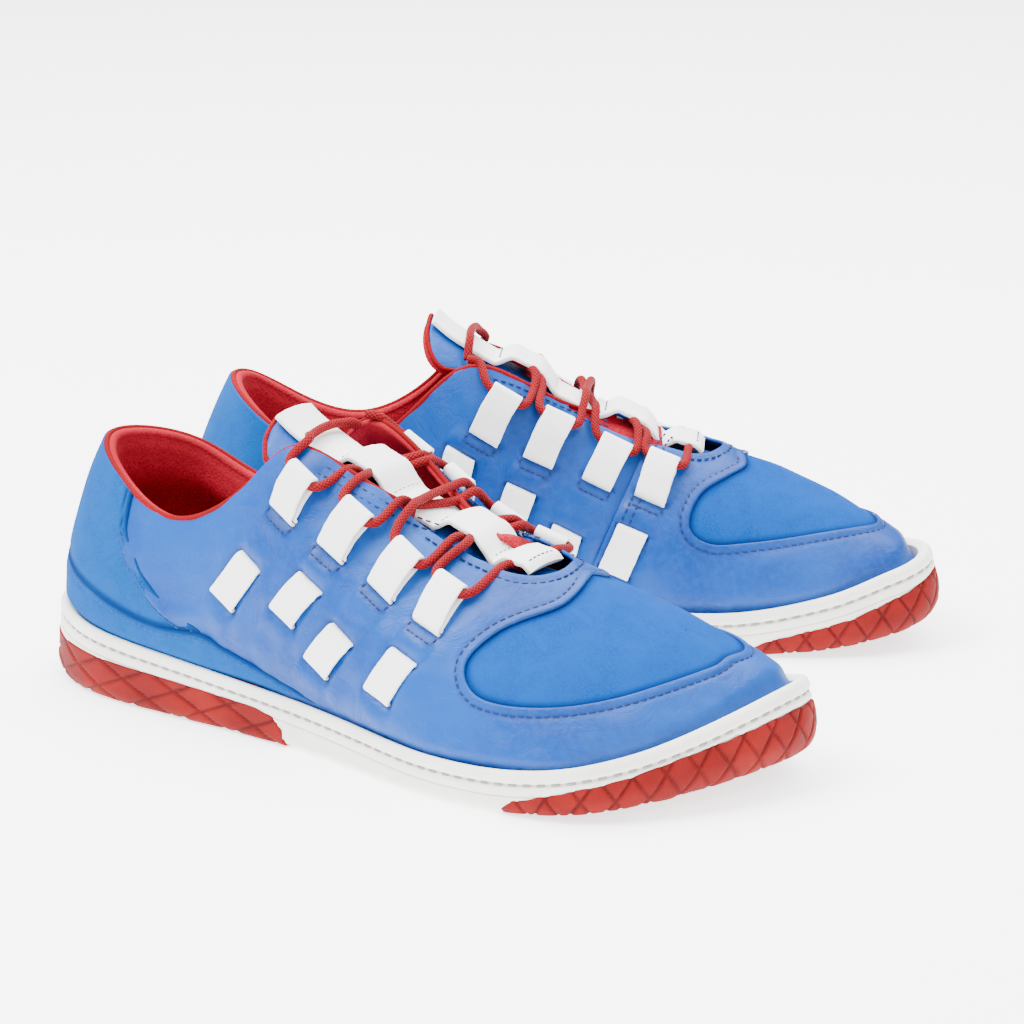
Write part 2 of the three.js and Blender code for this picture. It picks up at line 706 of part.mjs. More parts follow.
// Insole board and footbed, inside the lining, following the feather line
const innerFace = liningOuter - liningThickness;
const bedPlay = 0.7;
function bedPlate(bottom, thickness) {
  const edge = (height) => latticeColumns.map((s) => {
    const [low, high] = latticeRows.map((v) => offSkin(s, v, innerFace - bedPlay));
    const level = ribAt(s)[0].z + height;
    return low.lerp(high, (level - low.z) / (high.z - low.z));
  });
  return ringSolid([edge(bottom), edge(bottom + thickness)]);
}
soleParts.insole_board = bedPlate(layerPlay, boardThickness);
soleParts.footbed = bedPlate(2 * layerPlay + boardThickness, footbedThickness);

// ---- Tongue -------------------------------------------------------------------------

// Middle line of the tongue's outer face from its sewn base to its top: length, height,
// half width, and how far the edges hang below the middle
const tongueRows = [
  [202, 62.5, 10.8, 1.6],
  [190, 64.6, 11.2, 1.8],
  [176, 69.6, 11.4, 2],
  [160, 76.6, 11.4, 2],
  [144, 83.4, 11.6, 2],
  [130, 89.4, 12.2, 2.2],
  [119, 94.4, 13.4, 3],
  [110, 99.2, 17, 6],
  [103, 104.2, 19.5, 8.5],
  [98, 109, 17, 7],
  [95.5, 112.5, 12, 3.5],
];
const tongueColumns = 4;

function tonguePoint(k, across) {
  const [x, z, half, hang] = tongueRows[k];
  return sized(x, across * half, z).add(new THREE.Vector3(0, 0, -hang * across * across));
}
function tongueSheet() {
  const nodes = [];
  tongueRows.forEach((row, k) => {
    for (let c = 0; c <= tongueColumns; c += 1) {
      const across = (c / tongueColumns) * 2 - 1;
      const before = tonguePoint(Math.max(k - 1, 0), across);
      const after = tonguePoint(Math.min(k + 1, tongueRows.length - 1), across);
      const side = tonguePoint(k, across + 0.1).sub(tonguePoint(k, across - 0.1));
      const normal = side.cross(after.sub(before)).normalize();
      nodes.push({ point: tonguePoint(k, across), normal });
    }
  });
  const triangles = [];
  const width = tongueColumns + 1;
  for (let k = 0; k < tongueRows.length - 1; k += 1) {
    for (let c = 0; c < tongueColumns; c += 1) {
      const a = k * width + c;
      triangles.push([a, a + 1, a + 1 + width], [a, a + 1 + width, a + width]);
    }
  }
  return makeSheet(nodes, triangles);
}
const tongue = tongueSheet();
const foamTop = -tongueLeather - layerPlay;
const foamFoot = foamTop - tonguePadding;
const tongueParts = {
  tongue_leather: thicken(tongue, -tongueLeather, 0),
  tongue_foam: thicken(tongue, foamFoot, foamTop),
  tongue_lining: thicken(tongue, foamFoot - layerPlay - tongueLiningThickness, foamFoot - layerPlay),
};

// Height of the tongue's middle line at a length, and the strap's rise over each tunnel
const tongueLine = tongueRows.map(([x, z]) => [x, z]).reverse();
const tongueHeight = (x) => raise(along(tongueLine, x));
const strapTunnels = [[132.5, 7.4, 10.5], [172.5, 7.4, 10.5], [193, 5.8, 8]];
const strapSeat = 0.6;
function strapLift(x) {
  return strapTunnels.reduce((lift, [middle, rise, half]) => (
    lift + rise * (1 - THREE.MathUtils.smoothstep(Math.abs(x - middle), half * 0.35, half * 1.1))
  ), strapSeat);
}
const strapStations = [
  96.5, 101, 107, 113, 119, 124, 128, 132, 136, 140, 145, 151, 157, 162, 167, 172, 177, 182, 187, 191,
  195, 199,
];

tongueParts.tongue_strap = sweptBand(
  strapStations.map((x) => ({
    point: new THREE.Vector3(x * scaleX, 0, tongueHeight(x) + strapLift(x) + tongueStrapThickness / 2),
    across: new THREE.Vector3(0, 1, 0),
    thickness: tongueStrapThickness,
  })),
  tongueStrapWidth,
);

// ---- Piping and lace ----------------------------------------------------------------

// A path made of straight stretches between its points, with one step to each
class StraightStretches extends THREE.Curve {
  constructor(points) {
    super();
    this.points = points;
  }

  getPoint(t) {
    const place = t * (this.points.length - 1);
    const k = Math.min(Math.floor(place), this.points.length - 2);
    return this.points[k].clone().lerp(this.points[k + 1], place - k);
  }

  getPointAt(u) {
    return this.getPoint(u);
  }

  getTangentAt(u) {
    return this.getTangent(u);
  }
}

function tube(points, diameter, sides) {
  const section = new THREE.Shape();
  for (let k = 0; k < sides; k += 1) {
    const turn = (k / sides) * Math.PI * 2;
    const reach = diameter / 2;
    const corner = [Math.cos(turn) * reach, Math.sin(turn) * reach];
    if (k === 0) section.moveTo(...corner);
    else section.lineTo(...corner);
  }
  section.closePath();
  return new THREE.ExtrudeGeometry(section, {
    steps: points.length - 1, bevelEnabled: false, extrudePath: new StraightStretches(points),
  });
}

// Height of the middle of the piping over the edge that it caps
const pipingRise = pipingDiameter / 2 + pipingPlay;

// Red piping caps the top line from one eyestay, round the heel, to the other
const pipingEnds = [-3.6, 4.5];
const pipingStations = [pipingEnds[0], ...heelColumns(3), 4, pipingEnds[1]];
const pipingPoints = pipingStations.map((s) => {
  const edge = skinPoint(s, 1);
  const rise = edge.clone().sub(skinPoint(s, 0.97)).normalize();
  return edge.addScaledVector(skinNormal(s, 1), leatherInner / 2).addScaledVector(rise, pipingRise);
});

// The lace runs straight this far past each end of a fold
const loopEnd = 1.8;

// The lace's way through the shoe, in order. [strap, end] is an end of a strap's fold, -1
// towards the heel and 1 towards the toe. [length, offset, height] is a place over the tongue.
const laceLow = laceDiameter / 2 + 0.45;
const laceHigh = laceLow + laceDiameter + 0.35;
const laceOver = strapSeat + tongueStrapThickness + laceDiameter / 2 + 0.5;
const laceTop = laceOver + laceDiameter + 0.35;
const laceRoute = [
  [112.5, 15.5, 1.4], [111.5, 11, 4.6], [111, 0, laceOver + 1.3], [112.5, -12, 5],
  [117, -19, 6.4], ['outer_1', -1], ['outer_1', 1],
  [131, -18, 7], [131.5, -6, laceLow], [134, 6, laceLow], [141.8, 18, 6.8],
  ['inner_2', -1], ['inner_2', 1],
  [155, 17, 7], [155, 9, laceTop], [155.5, -9, laceTop], [156.8, -17, 7],
  ['outer_3', -1], ['outer_3', 1],
  [172, -17, 6], [172, -6, laceLow], [174.5, 6, laceLow], [179.5, 17, 6],
  ['inner_4', -1], ['inner_4', 1],
  [194, 13, 5], [194, 6, laceLow + 0.3], [194, -6, laceLow + 0.3], [191, -13, 5],
  ['outer_4', 1], ['outer_4', -1],
  [176.5, -17, 6], [173.5, -6, laceHigh], [171.5, 6, laceHigh], [176, 17, 6],
  ['inner_3', 1], ['inner_3', -1],
  [160, 17, 6.4], [158, 9, laceOver], [153, -9, laceOver], [152.2, -17, 6.4],
  ['outer_2', 1], ['outer_2', -1],
  [136.5, -18, 7], [133.5, -6, laceHigh], [132.5, 6, laceHigh], [138, 18, 7],
  ['inner_1', 1], ['inner_1', -1], [118, 20, 6.8], [113.5, 19, 4.4],
];

function lacePoint(station) {
  if (typeof station[0] === 'string') {
    const [name, end] = station;
    const { point, across } = strapStation(strapTracks[name], 0, 0, 0, laceRise);
    const shift = end * Math.sign(across.x) * (strapWidth / 2 + loopEnd);
    return point.addScaledVector(across, shift);
  }
  const [x, y, height] = station;
  return new THREE.Vector3(x * scaleX, y * scaleY, tongueHeight(x) + height);
}

// ---- The pair -----------------------------------------------------------------------

const finish = (color, roughness, metalness = 0) => ({ color, roughness, metalness });
const finishes = {
  main_leather: finish(0x2f7fd0, 0.45),
  inner_quarter: finish(0x2f7fd0, 0.45),
  vamp_suede: finish(0x2a86dc, 0.95),
  heel_counter: finish(0x4a90dc, 0.95),
  heel_band: finish(0x3a82d2, 0.95),
  lining: finish(0xb8202e, 0.9),
  collar_foam: finish(0xd9d2b8, 1),
  heel_stiffener: finish(0xcfc6b4, 0.8),
  toe_stiffener: finish(0xcfc6b4, 0.8),
  heel_outsole: finish(0xc93a34, 0.6),
  toe_outsole: finish(0xc93a34, 0.6),
  cupsole: finish(0xe9e9e6, 0.55),
  insole_board: finish(0xb9a888, 0.9),
  footbed: finish(0xb02430, 0.95),
  tongue_leather: finish(0x2f7fd0, 0.45),
  tongue_foam: finish(0xd9d2b8, 1),
  tongue_lining: finish(0xb8202e, 0.9),
  tongue_strap: finish(0xececea, 0.5),
  collar_piping: finish(0xc42c34, 0.6),
  lace: finish(0xcf2f3a, 0.85),
  strap: finish(0xe9e9e7, 0.55),
};

const geometries = {};
Object.entries({ ...upperParts, ...soleParts, ...tongueParts }).forEach(([name, solid]) => {
  geometries[name] = toGeometry(solid);
});
Object.entries(strapTracks).forEach(([name, track]) => {
  geometries[`lace_strap_${name}`] = toGeometry(strapSolid(track));
});
geometries.collar_piping = tube(pipingPoints, pipingDiameter, 6);
geometries.lace = tube(laceRoute.map(lacePoint), laceDiameter, 8);

function makeShoe(prefix) {
  const shoe = new THREE.Group();
  Object.entries(geometries).forEach(([name, geometry]) => {
    const look = finishes[name] ?? finishes.strap;
    const mesh = new THREE.Mesh(geometry, new THREE.MeshStandardMaterial(look));
    mesh.name = `${prefix}_${name}`;
    shoe.add(mesh);
  });
  return shoe;
}

const pair = new THREE.Group();
const turn = THREE.MathUtils.degToRad(toeOutAngle);
const right = makeShoe('right');
right.position.set(0, -heelSpacing / 2, 0);
right.rotation.z = -turn;
const left = makeShoe('left');
left.scale.y = -1;
left.position.set(leftShoeLead, heelSpacing / 2, 0);
left.rotation.z = turn;
pair.add(right, left);

// Centre the pair over the origin, standing on the floor
pair.updateMatrixWorld(true);
const middle = new THREE.Box3().setFromObject(pair, true).getCenter(new THREE.Vector3());
pair.position.set(-middle.x, -middle.y, 0);

export default pair;
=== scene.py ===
import json
import math
import bpy
import numpy as np
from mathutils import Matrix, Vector


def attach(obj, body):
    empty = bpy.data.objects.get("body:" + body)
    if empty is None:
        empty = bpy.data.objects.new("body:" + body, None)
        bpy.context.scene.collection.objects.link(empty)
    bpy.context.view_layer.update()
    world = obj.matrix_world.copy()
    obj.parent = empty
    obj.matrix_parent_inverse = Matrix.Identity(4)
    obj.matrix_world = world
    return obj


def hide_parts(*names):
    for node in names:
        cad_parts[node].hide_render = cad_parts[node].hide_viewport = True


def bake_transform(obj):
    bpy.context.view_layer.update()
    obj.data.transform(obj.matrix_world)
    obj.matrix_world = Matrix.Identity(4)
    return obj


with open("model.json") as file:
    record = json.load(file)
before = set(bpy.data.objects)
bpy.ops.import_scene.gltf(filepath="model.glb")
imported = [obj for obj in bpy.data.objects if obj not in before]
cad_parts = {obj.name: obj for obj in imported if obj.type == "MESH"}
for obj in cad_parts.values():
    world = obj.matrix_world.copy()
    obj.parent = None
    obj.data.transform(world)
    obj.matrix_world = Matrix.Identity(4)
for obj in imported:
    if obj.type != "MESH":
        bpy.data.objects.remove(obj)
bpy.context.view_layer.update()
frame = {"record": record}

bpy.ops.object.select_all(action="DESELECT")
scene = bpy.context.scene

# ---- camera ----
view = {"place": (0.4072, -1.1657, 0.4071), "target": (-0.0576, 0.1957, 0.0), "lens": 126.9}
bpy.ops.object.camera_add(location=view["place"])
camera = bpy.context.object
camera.rotation_euler = (Vector(view["target"]) - camera.location).to_track_quat("-Z", "Y").to_euler()
camera.data.lens = view["lens"]
camera.data.sensor_width = 36
camera.data.clip_start = 0.05
scene.camera = camera
print("camera set")

# ---- the shape of one shoe, in millimetres: heel at x = 0, inner side +y ----
# each rib climbs the side from the sole: foot, low, high and top point
ribs = np.array([
    (5, 0, 10, 2, 0, 36, 10, 0, 62, 23, 0, 88),
    (13, -21, 10, 10, -24, 36, 16, -22, 62, 26, -17, 87),
    (36, -32, 10, 34, -38, 34, 35, -33, 56, 39, -26, 79),
    (68, -36, 9, 67, -42, 30, 67, -38, 52, 68, -31, 68.5),
    (98, -38, 9, 98, -45, 34, 96, -38, 68, 97, -27, 85),
    (128, -41, 9, 127, -49, 38, 120, -38, 78, 116, -21, 98.5),
    (158, -47, 9, 157, -55, 34, 152, -38, 71, 149, -15, 84.5),
    (190, -53, 9, 190, -61, 30, 184, -31, 70, 178, 0, 75.5),
    (223, -52, 10, 223, -58, 27, 212, -30, 62, 207, 1, 67.5),
    (255, -36, 13, 256, -40, 27, 242, -19, 52, 236, 5, 56),
    (281, 15, 19, 285, 15, 32, 271, 12, 42, 248, 8, 50.5),
    (270, 38, 15, 272, 42, 30, 257, 31, 48, 240, 7, 53.5),
    (245, 46, 11, 245, 52, 28, 230, 34, 55, 222, 5, 59),
    (215, 45, 9, 215, 51, 30, 205, 31, 64, 200, 0, 69),
    (185, 41, 9, 185, 48, 36, 181, 29, 72, 178, 0, 75.5),
    (155, 34, 9, 155, 41, 38, 152, 34, 73, 149, 15, 85),
    (125, 30, 9, 124, 38, 42, 119, 33, 80, 118, 21.5, 99.5),
    (95, 29, 9, 95, 36, 36, 94, 34, 67, 95, 27, 85),
    (65, 30, 9, 64, 36, 32, 65, 35, 52, 67, 30, 68),
    (32, 27, 10, 31, 33, 36, 33, 30, 60, 38, 25, 79),
], float).reshape(-1, 4, 3)
ribCount = len(ribs)
ridgePoints = np.array([(178, 0, 75.5), (216, 4, 67), (248, 8, 50.5)], float)
soleMargins = [5, 5, 4.5, 3.4, 2.8, 2.8, 3.2, 3.4, 3.8, 4.2, 6, 4.4, 3.6, 4, 3.8, 3.8, 3.4, 4, 4, 5]
rimHeights = [28.5, 27, 24.5, 22, 19.5, 17.5, 16, 14.5, 15.5, 22,
              35, 31, 23, 16.5, 15, 15.5, 17.5, 20, 22, 25]


def splineBends(points):
    n = len(points)
    matrix = 4 * np.eye(n) + np.roll(np.eye(n), 1, 1) + np.roll(np.eye(n), -1, 1)
    right = 6 * (np.roll(points, -1, 0) - 2 * points + np.roll(points, 1, 0))
    return np.linalg.solve(matrix, right.reshape(n, -1)).reshape(points.shape)


ribBends = splineBends(ribs)


def ribAt(s):
    s = np.asarray(s, float) % ribCount
    i = np.floor(s).astype(int) % ribCount
    j = (i + 1) % ribCount
    b = (s - np.floor(s))[..., None, None]
    a = 1 - b
    made = a * ribs[i] + b * ribs[j] + ((a ** 3 - a) * ribBends[i] + (b ** 3 - b) * ribBends[j]) / 6
    q = np.where(s <= 10, np.sin(math.pi / 6 * (s - 7)), np.sin(math.pi / 8 * (14 - s)))
    onRidge = (s >= 7) & (s <= 14)
    q = q[..., None]
    ridge = (1 - q) ** 2 * ridgePoints[0] + 2 * q * (1 - q) * ridgePoints[1] + q * q * ridgePoints[2]
    made[..., 3, :] = np.where(onRidge[..., None], ridge, made[..., 3, :])
    return made


def skinPoint(s, v):
    c = ribAt(s)
    v = np.asarray(v, float)[..., None]
    w = 1 - v
    lower = w ** 3 * c[..., 0, :] + 3 * w * w * v * c[..., 1, :]
    return lower + 3 * w * v * v * c[..., 2, :] + v ** 3 * c[..., 3, :]


def unit(vectors):
    size = np.linalg.norm(vectors, axis=-1, keepdims=True)
    return vectors / np.maximum(size, 1e-9)


def partials(surface, s, v):
    ds, dv = 0.02, 0.01
    along = (surface(s + ds, v) - surface(s - ds, v)) / (2 * ds)
    up = (surface(s, v) - surface(s, v - dv)) / dv
    return along, up


def normalOf(surface, s, v):
    along, up = partials(surface, s, v)
    return unit(np.cross(along, up))


def skinNormal(s, v):
    return normalOf(skinPoint, np.asarray(s, float), np.asarray(v, float))


def smoothTable(table, s):
    table = np.asarray(table, float)
    s = np.asarray(s, float)
    i = np.floor(s).astype(int)
    t = s - i
    p0, p1, p2, p3 = [table[(i + k) % len(table)] for k in (-1, 0, 1, 2)]
    return p1 + 0.5 * t * (p2 - p0 + t * (2 * p0 - 5 * p1 + 4 * p2 - p3 + t * (3 * (p1 - p2) + p3 - p0)))


def smooth(x, low, high):
    t = np.clip((np.asarray(x, float) - low) / (high - low), 0, 1)
    return t * t * (3 - 2 * t)


def bell(x, width):
    return np.exp(-(np.asarray(x, float) / width) ** 2)


def pathThrough(points, count, loop=False):
    # an even smooth path through the points given
    points = np.asarray(points, float)
    n = len(points)
    spans = n if loop else n - 1
    steps = np.linspace(0, spans, spans * 24 + 1)
    i = np.minimum(np.floor(steps).astype(int), spans - 1)
    t = (steps - i)[:, None]
    pick = (lambda k: points[(i + k) % n]) if loop else (lambda k: points[np.clip(i + k, 0, n - 1)])
    p0, p1, p2, p3 = pick(-1), pick(0), pick(1), pick(2)
    fine = p1 + 0.5 * t * (p2 - p0 + t * (2 * p0 - 5 * p1 + 4 * p2 - p3 + t * (3 * (p1 - p2) + p3 - p0)))
    return evenly(fine, count)


def evenly(path, count):
    run = np.concatenate([[0], np.cumsum(np.linalg.norm(np.diff(path, axis=0), axis=1))])
    at = np.linspace(0, run[-1], count)
    return np.stack([np.interp(at, run, path[:, k]) for k in range(path.shape[1])], 1)


def pathLength(path):
    return np.linalg.norm(np.diff(path, axis=0), axis=1).sum()


# ---- placing in the frame ----
joints = {joint["name"]: joint for joint in frame["record"]["behaviour"]["joints"]}
tonguePivot = 203


tongueSet = {"right": -2.0, "left": 3.0}


def lifted(points, side, share=1.0):
    # each tongue sits a little differently: turned about its foot
    points = np.array(points, float)
    turn = math.radians(tongueSet[side])
    x, z = points[:, 0] - tonguePivot, points[:, 2] - 64
    moved = points.copy()
    moved[:, 0] = tonguePivot + x * math.cos(turn) + z * math.sin(turn)
    moved[:, 2] = 64 - x * math.sin(turn) + z * math.cos(turn)
    share = np.broadcast_to(share, (len(points),))[:, None]
    return points * (1 - share) + moved * share


def placed(points, side):
    joint = joints[side + "_tongue_tilt"]
    pivot = np.array(joint["pos_m"])
    axis = np.array(joint["axis"])
    along = np.array([axis[1], -axis[0], 0])
    across = axis if side == "right" else -axis
    points = np.asarray(points, float) / 1000
    flat = np.array([pivot[0], pivot[1], 0])
    return (flat + (points[:, :1] - tonguePivot / 1000) * along + points[:, 1:2] * across
            + points[:, 2:] * np.array([0, 0, 1]))


def makePiece(name, points, faces, side, material, values=None, smoothAngle=40, uv=None):
    faces = np.asarray(faces)
    if side == "left":
        faces = faces[:, ::-1]
        uv = None if uv is None else uv[:, ::-1]
    mesh = bpy.data.meshes.new(side + "_" + name)
    mesh.from_pydata(placed(points, side).tolist(), [], faces.tolist())
    piece = bpy.data.objects.new(side + "_" + name, mesh)
    bpy.context.collection.objects.link(piece)
    mesh.materials.append(material)
    for key, numbers in (values or {}).items():
        mesh.attributes.new(key, "FLOAT", "POINT").data.foreach_set("value", np.asarray(numbers, "f"))
    if uv is not None:
        mesh.uv_layers.new(name="along").data.foreach_set("uv", uv.astype("f").ravel())
    mesh.shade_smooth()
    if smoothAngle:
        mesh.set_sharp_from_angle(angle=math.radians(smoothAngle))
    mesh.validate()
    return piece


# ---- sheets cut out of a surface ----
def lattice(columns, rows, loop=False):
    n, m = len(columns), len(rows)
    s, v = np.meshgrid(columns, rows, indexing="ij")
    index = np.arange(n * m).reshape(n, m)
    index = np.concatenate([index, index[:1]]) if loop else index
    a, b, c, d = index[:-1, :-1], index[1:, :-1], index[1:, 1:], index[:-1, 1:]
    faces = np.concatenate([np.stack([a, b, c], -1).reshape(-1, 3), np.stack([a, c, d], -1).reshape(-1, 3)])
    return np.stack([s.ravel(), v.ravel()], 1), faces


def trimmed(surface, places, faces, field, snap=0.25):
    # keeps what has a positive field, and moves near nodes onto the cut
    values = field(places)
    near = (np.abs(values) < snap) & (places[:, 1] < 0.999)
    for turn in range(2):
        at = places[near]
        step = 0.004
        gs = (field(at + [step, 0]) - field(at - [step, 0])) / (2 * step)
        gv = (field(at + [0, step]) - field(at - [0, step])) / (2 * step)
        along, up = partials(surface, at[:, 0], at[:, 1])
        ls, lv = np.linalg.norm(along, axis=1), np.linalg.norm(up, axis=1)
        size = np.maximum((gs / ls) ** 2 + (gv / lv) ** 2, 0.2)
        now = field(at)
        shift = np.stack([-now * gs / ls ** 2 / size, -now * gv / lv ** 2 / size], 1)
        limit = 0.7 / np.stack([ls, lv], 1)
        places[near] = at + np.clip(shift, -limit, limit)
        places[near, 1] = np.minimum(places[near, 1], 0.9985)
    values[near] = 0
    kept = values >= 0
    count = kept[faces].sum(1)
    whole = faces[(count == 3) & (np.abs(values[faces]).max(1) > 0)]
    added, crossings, extra = [], {}, []

    def crossing(a, b):
        if values[a] == 0:
            return a
        if values[b] == 0:
            return b
        key = (min(a, b), max(a, b))
        if key not in crossings:
            t = values[a] / (values[a] - values[b])
            added.append(places[a] + (places[b] - places[a]) * t)
            crossings[key] = len(places) + len(added) - 1
        return crossings[key]

    for face in faces[(count == 1) | (count == 2)].tolist():
        ring = []
        for k in range(3):
            a, b = face[k], face[(k + 1) % 3]
            if kept[a]:
                ring.append(a)
            if kept[a] != kept[b]:
                ring.append(crossing(a, b))
        ring = [p for k, p in enumerate(ring) if p != ring[k - 1]]
        for k in range(1, len(ring) - 1):
            if len({ring[0], ring[k], ring[k + 1]}) == 3:
                extra.append([ring[0], ring[k], ring[k + 1]])
    if added:
        places = np.concatenate([places, added])
    faces = np.concatenate([whole, np.array(extra, int).reshape(-1, 3)])
    used, faces = np.unique(faces, return_inverse=True)
    return places[used], faces.reshape(-1, 3)


def welded(points, normals, places, faces):
    keys = np.round(points, 2)
    first, owner = np.unique(keys, axis=0, return_index=True, return_inverse=True)[1:]
    owner = owner.ravel()
    summed = np.zeros((len(first), 3))
    np.add.at(summed, owner, normals)
    faces = owner[faces]
    good = (faces[:, 0] != faces[:, 1]) & (faces[:, 1] != faces[:, 2]) & (faces[:, 2] != faces[:, 0])
    return points[first], unit(summed), places[first], faces[good]


def openEdges(faces):
    edges = np.concatenate([faces[:, [0, 1]], faces[:, [1, 2]], faces[:, [2, 0]]])
    size = faces.max() + 1
    codes = edges[:, 0] * size + edges[:, 1]
    back = edges[:, 1] * size + edges[:, 0]
    return edges[~np.isin(codes, back)]


def shellOf(surface, columns, rows, field=None, lift=0, thickness=1.2, edge=((0.5, -0.15), (0.7, -0.6)),
            relief=None, loop=False, edgeRounds=2):
    places, faces = lattice(columns, rows, loop)
    if field is not None:
        places, faces = trimmed(surface, places, faces, field)
    points = surface(places[:, 0], places[:, 1])
    normals = normalOf(surface, places[:, 0], places[:, 1])
    points, normals, places, faces = welded(points, normals, places, faces)
    rise = np.full(len(points), float(lift))
    if relief is not None:
        rise = rise + relief(places, points)
    outer = points + normals * rise[:, None]
    inner = points + normals * (rise - thickness)[:, None]
    rim = openEdges(faces)
    ids = np.unique(rim)
    spot = {int(p): k for k, p in enumerate(ids)}
    a = np.array([spot[int(p)] for p in rim[:, 0]])
    b = np.array([spot[int(p)] for p in rim[:, 1]])
    heading = np.zeros((len(ids), 3))
    run = points[rim[:, 1]] - points[rim[:, 0]]
    np.add.at(heading, a, run)
    np.add.at(heading, b, run)
    for turn in range(edgeRounds):
        spread = heading.copy()
        np.add.at(spread, a, unit(heading)[b])
        np.add.at(spread, b, unit(heading)[a])
        heading = unit(spread)
    outward = unit(np.cross(heading, normals[ids]))
    parts = [outer]
    tris = [faces, faces[:, ::-1] + len(outer)]
    parts.append(inner)
    levels = [ids]
    for k, (reach, height) in enumerate(edge):
        parts.append(points[ids] + outward * reach + normals[ids] * (rise[ids] + height)[:, None])
        levels.append(np.arange(len(ids)) + 2 * len(outer) + k * len(ids))
    levels.append(ids + len(outer))
    for upper, lower in zip(levels[:-1], levels[1:]):
        tris.append(np.stack([upper[b], upper[a], lower[a]], 1))
        tris.append(np.stack([upper[b], lower[a], lower[b]], 1))
    everything = np.concatenate(parts)
    which = np.concatenate([np.arange(len(points))] * 2 + [ids] * len(edge))
    return everything, np.concatenate(tris), places[which], which


def lineField(surface, path, region):
    # distance to a path on the surface, positive inside the region
    line = surface(path[:, 0], path[:, 1])
    a, b = line[:-1], line[1:]
    run = b - a
    size = np.maximum((run ** 2).sum(1), 1e-9)
    corner = np.asarray(region, float)

    def field(places):
        points = surface(places[:, 0], places[:, 1])
        best = np.full(len(points), 1e9)
        for start in range(0, len(points), 4000):
            p = points[start:start + 4000, None]
            t = np.clip(((p - a) * run).sum(2) / size, 0, 1)
            gap = np.linalg.norm(p - a - run * t[..., None], axis=2)
            best[start:start + 4000] = gap.min(1)
        return np.where(inside(places, corner), best, -best)
    return field


def inside(places, corner):
    x, y = places[:, 0], places[:, 1]
    odd = np.zeros(len(x), bool)
    for (ax, ay), (bx, by) in zip(corner, np.roll(corner, -1, 0)):
        if ay != by:
            crosses = ((ay > y) != (by > y)) & (x < (bx - ax) * (y - ay) / (by - ay) + ax)
            odd ^= crosses
    return odd


def skinStep(places, move):
    # the change of place that moves points on the skin by a small amount
    along, up = partials(skinPoint, places[:, 0], places[:, 1])
    aa, ab, bb = (along * along).sum(1), (along * up).sum(1), (up * up).sum(1)
    ra, rb = (along * move).sum(1), (up * move).sum(1)
    det = aa * bb - ab * ab
    return np.stack([(ra * bb - rb * ab) / det, (rb * aa - ra * ab) / det], 1)


def sideways(places, distance):
    # moves a path on the skin to its right side
    points = skinPoint(places[:, 0], places[:, 1])
    heading = unit(np.gradient(points, axis=0))
    outward = np.cross(heading, skinNormal(places[:, 0], places[:, 1])) * distance
    return places + skinStep(places, outward)


# ---- shader maths ----
class Wire:
    def __init__(self, tree, socket=None):
        self.tree = tree
        self.socket = socket

    def node(self, kind, settings=None, inputs=None, output=0):
        made = self.tree.nodes.new(kind)
        for name, value in (settings or {}).items():
            if name == "stops":
                ramp = made.color_ramp
                while len(ramp.elements) < len(value):
                    ramp.elements.new(0.5)
                for element, (at, level) in zip(ramp.elements, value):
                    element.position = at
                    plain = isinstance(level, (int, float))
                    element.color = (level, level, level, 1) if plain else (*level, 1)
            else:
                setattr(made, name, value)
        for name, value in (inputs or {}).items():
            self.feed(made.inputs[name], value)
        return Wire(self.tree, made.outputs[output])

    def feed(self, socket, value):
        if isinstance(value, Wire):
            self.tree.links.new(value.socket, socket)
        else:
            socket.default_value = value

    def maths(self, operation, *values):
        return self.node("ShaderNodeMath", {"operation": operation}, dict(enumerate(values)))

    def __add__(self, other):
        return self.maths("ADD", self, other)

    def __sub__(self, other):
        return self.maths("SUBTRACT", self, other)

    def __mul__(self, other):
        return self.maths("MULTIPLY", self, other)

    def __truediv__(self, other):
        return self.maths("DIVIDE", self, other)

    def __rsub__(self, other):
        return self.maths("SUBTRACT", other, self)

    __radd__ = __add__
    __rmul__ = __mul__

    def between(self, low, high):
        return self.node("ShaderNodeMapRange", {"interpolation_type": "SMOOTHSTEP"},
                         {"Value": self, "From Min": low, "From Max": high})

    def blend(self, first, second):
        # a colour between two, by this share
        return self.node("ShaderNodeMix", {"data_type": "RGBA"}, {0: self, 6: first, 7: second}, 2)

    def noise(self, place, scale, detail=3, roughness=0.5, distortion=0):
        return self.node("ShaderNodeTexNoise", None, {"Vector": place, "Scale": scale, "Detail": detail,
                                                     "Roughness": roughness, "Distortion": distortion})

    def bump(self, height, strength, depth, under=None):
        inputs = {"Height": height, "Strength": strength, "Distance": depth}
        if under is not None:
            inputs["Normal"] = under
        return self.node("ShaderNodeBump", None, inputs)


def newMaterial(name):
    material = bpy.data.materials.new(name)
    material.use_nodes = True
    tree = material.node_tree
    shader = tree.nodes["Principled BSDF"]
    return material, Wire(tree), shader


def finishShader(wire, shader, sockets):
    for name, value in sockets.items():
        wire.feed(shader.inputs[name], value)


def colour(red, green, blue):
    return (red, green, blue, 1)


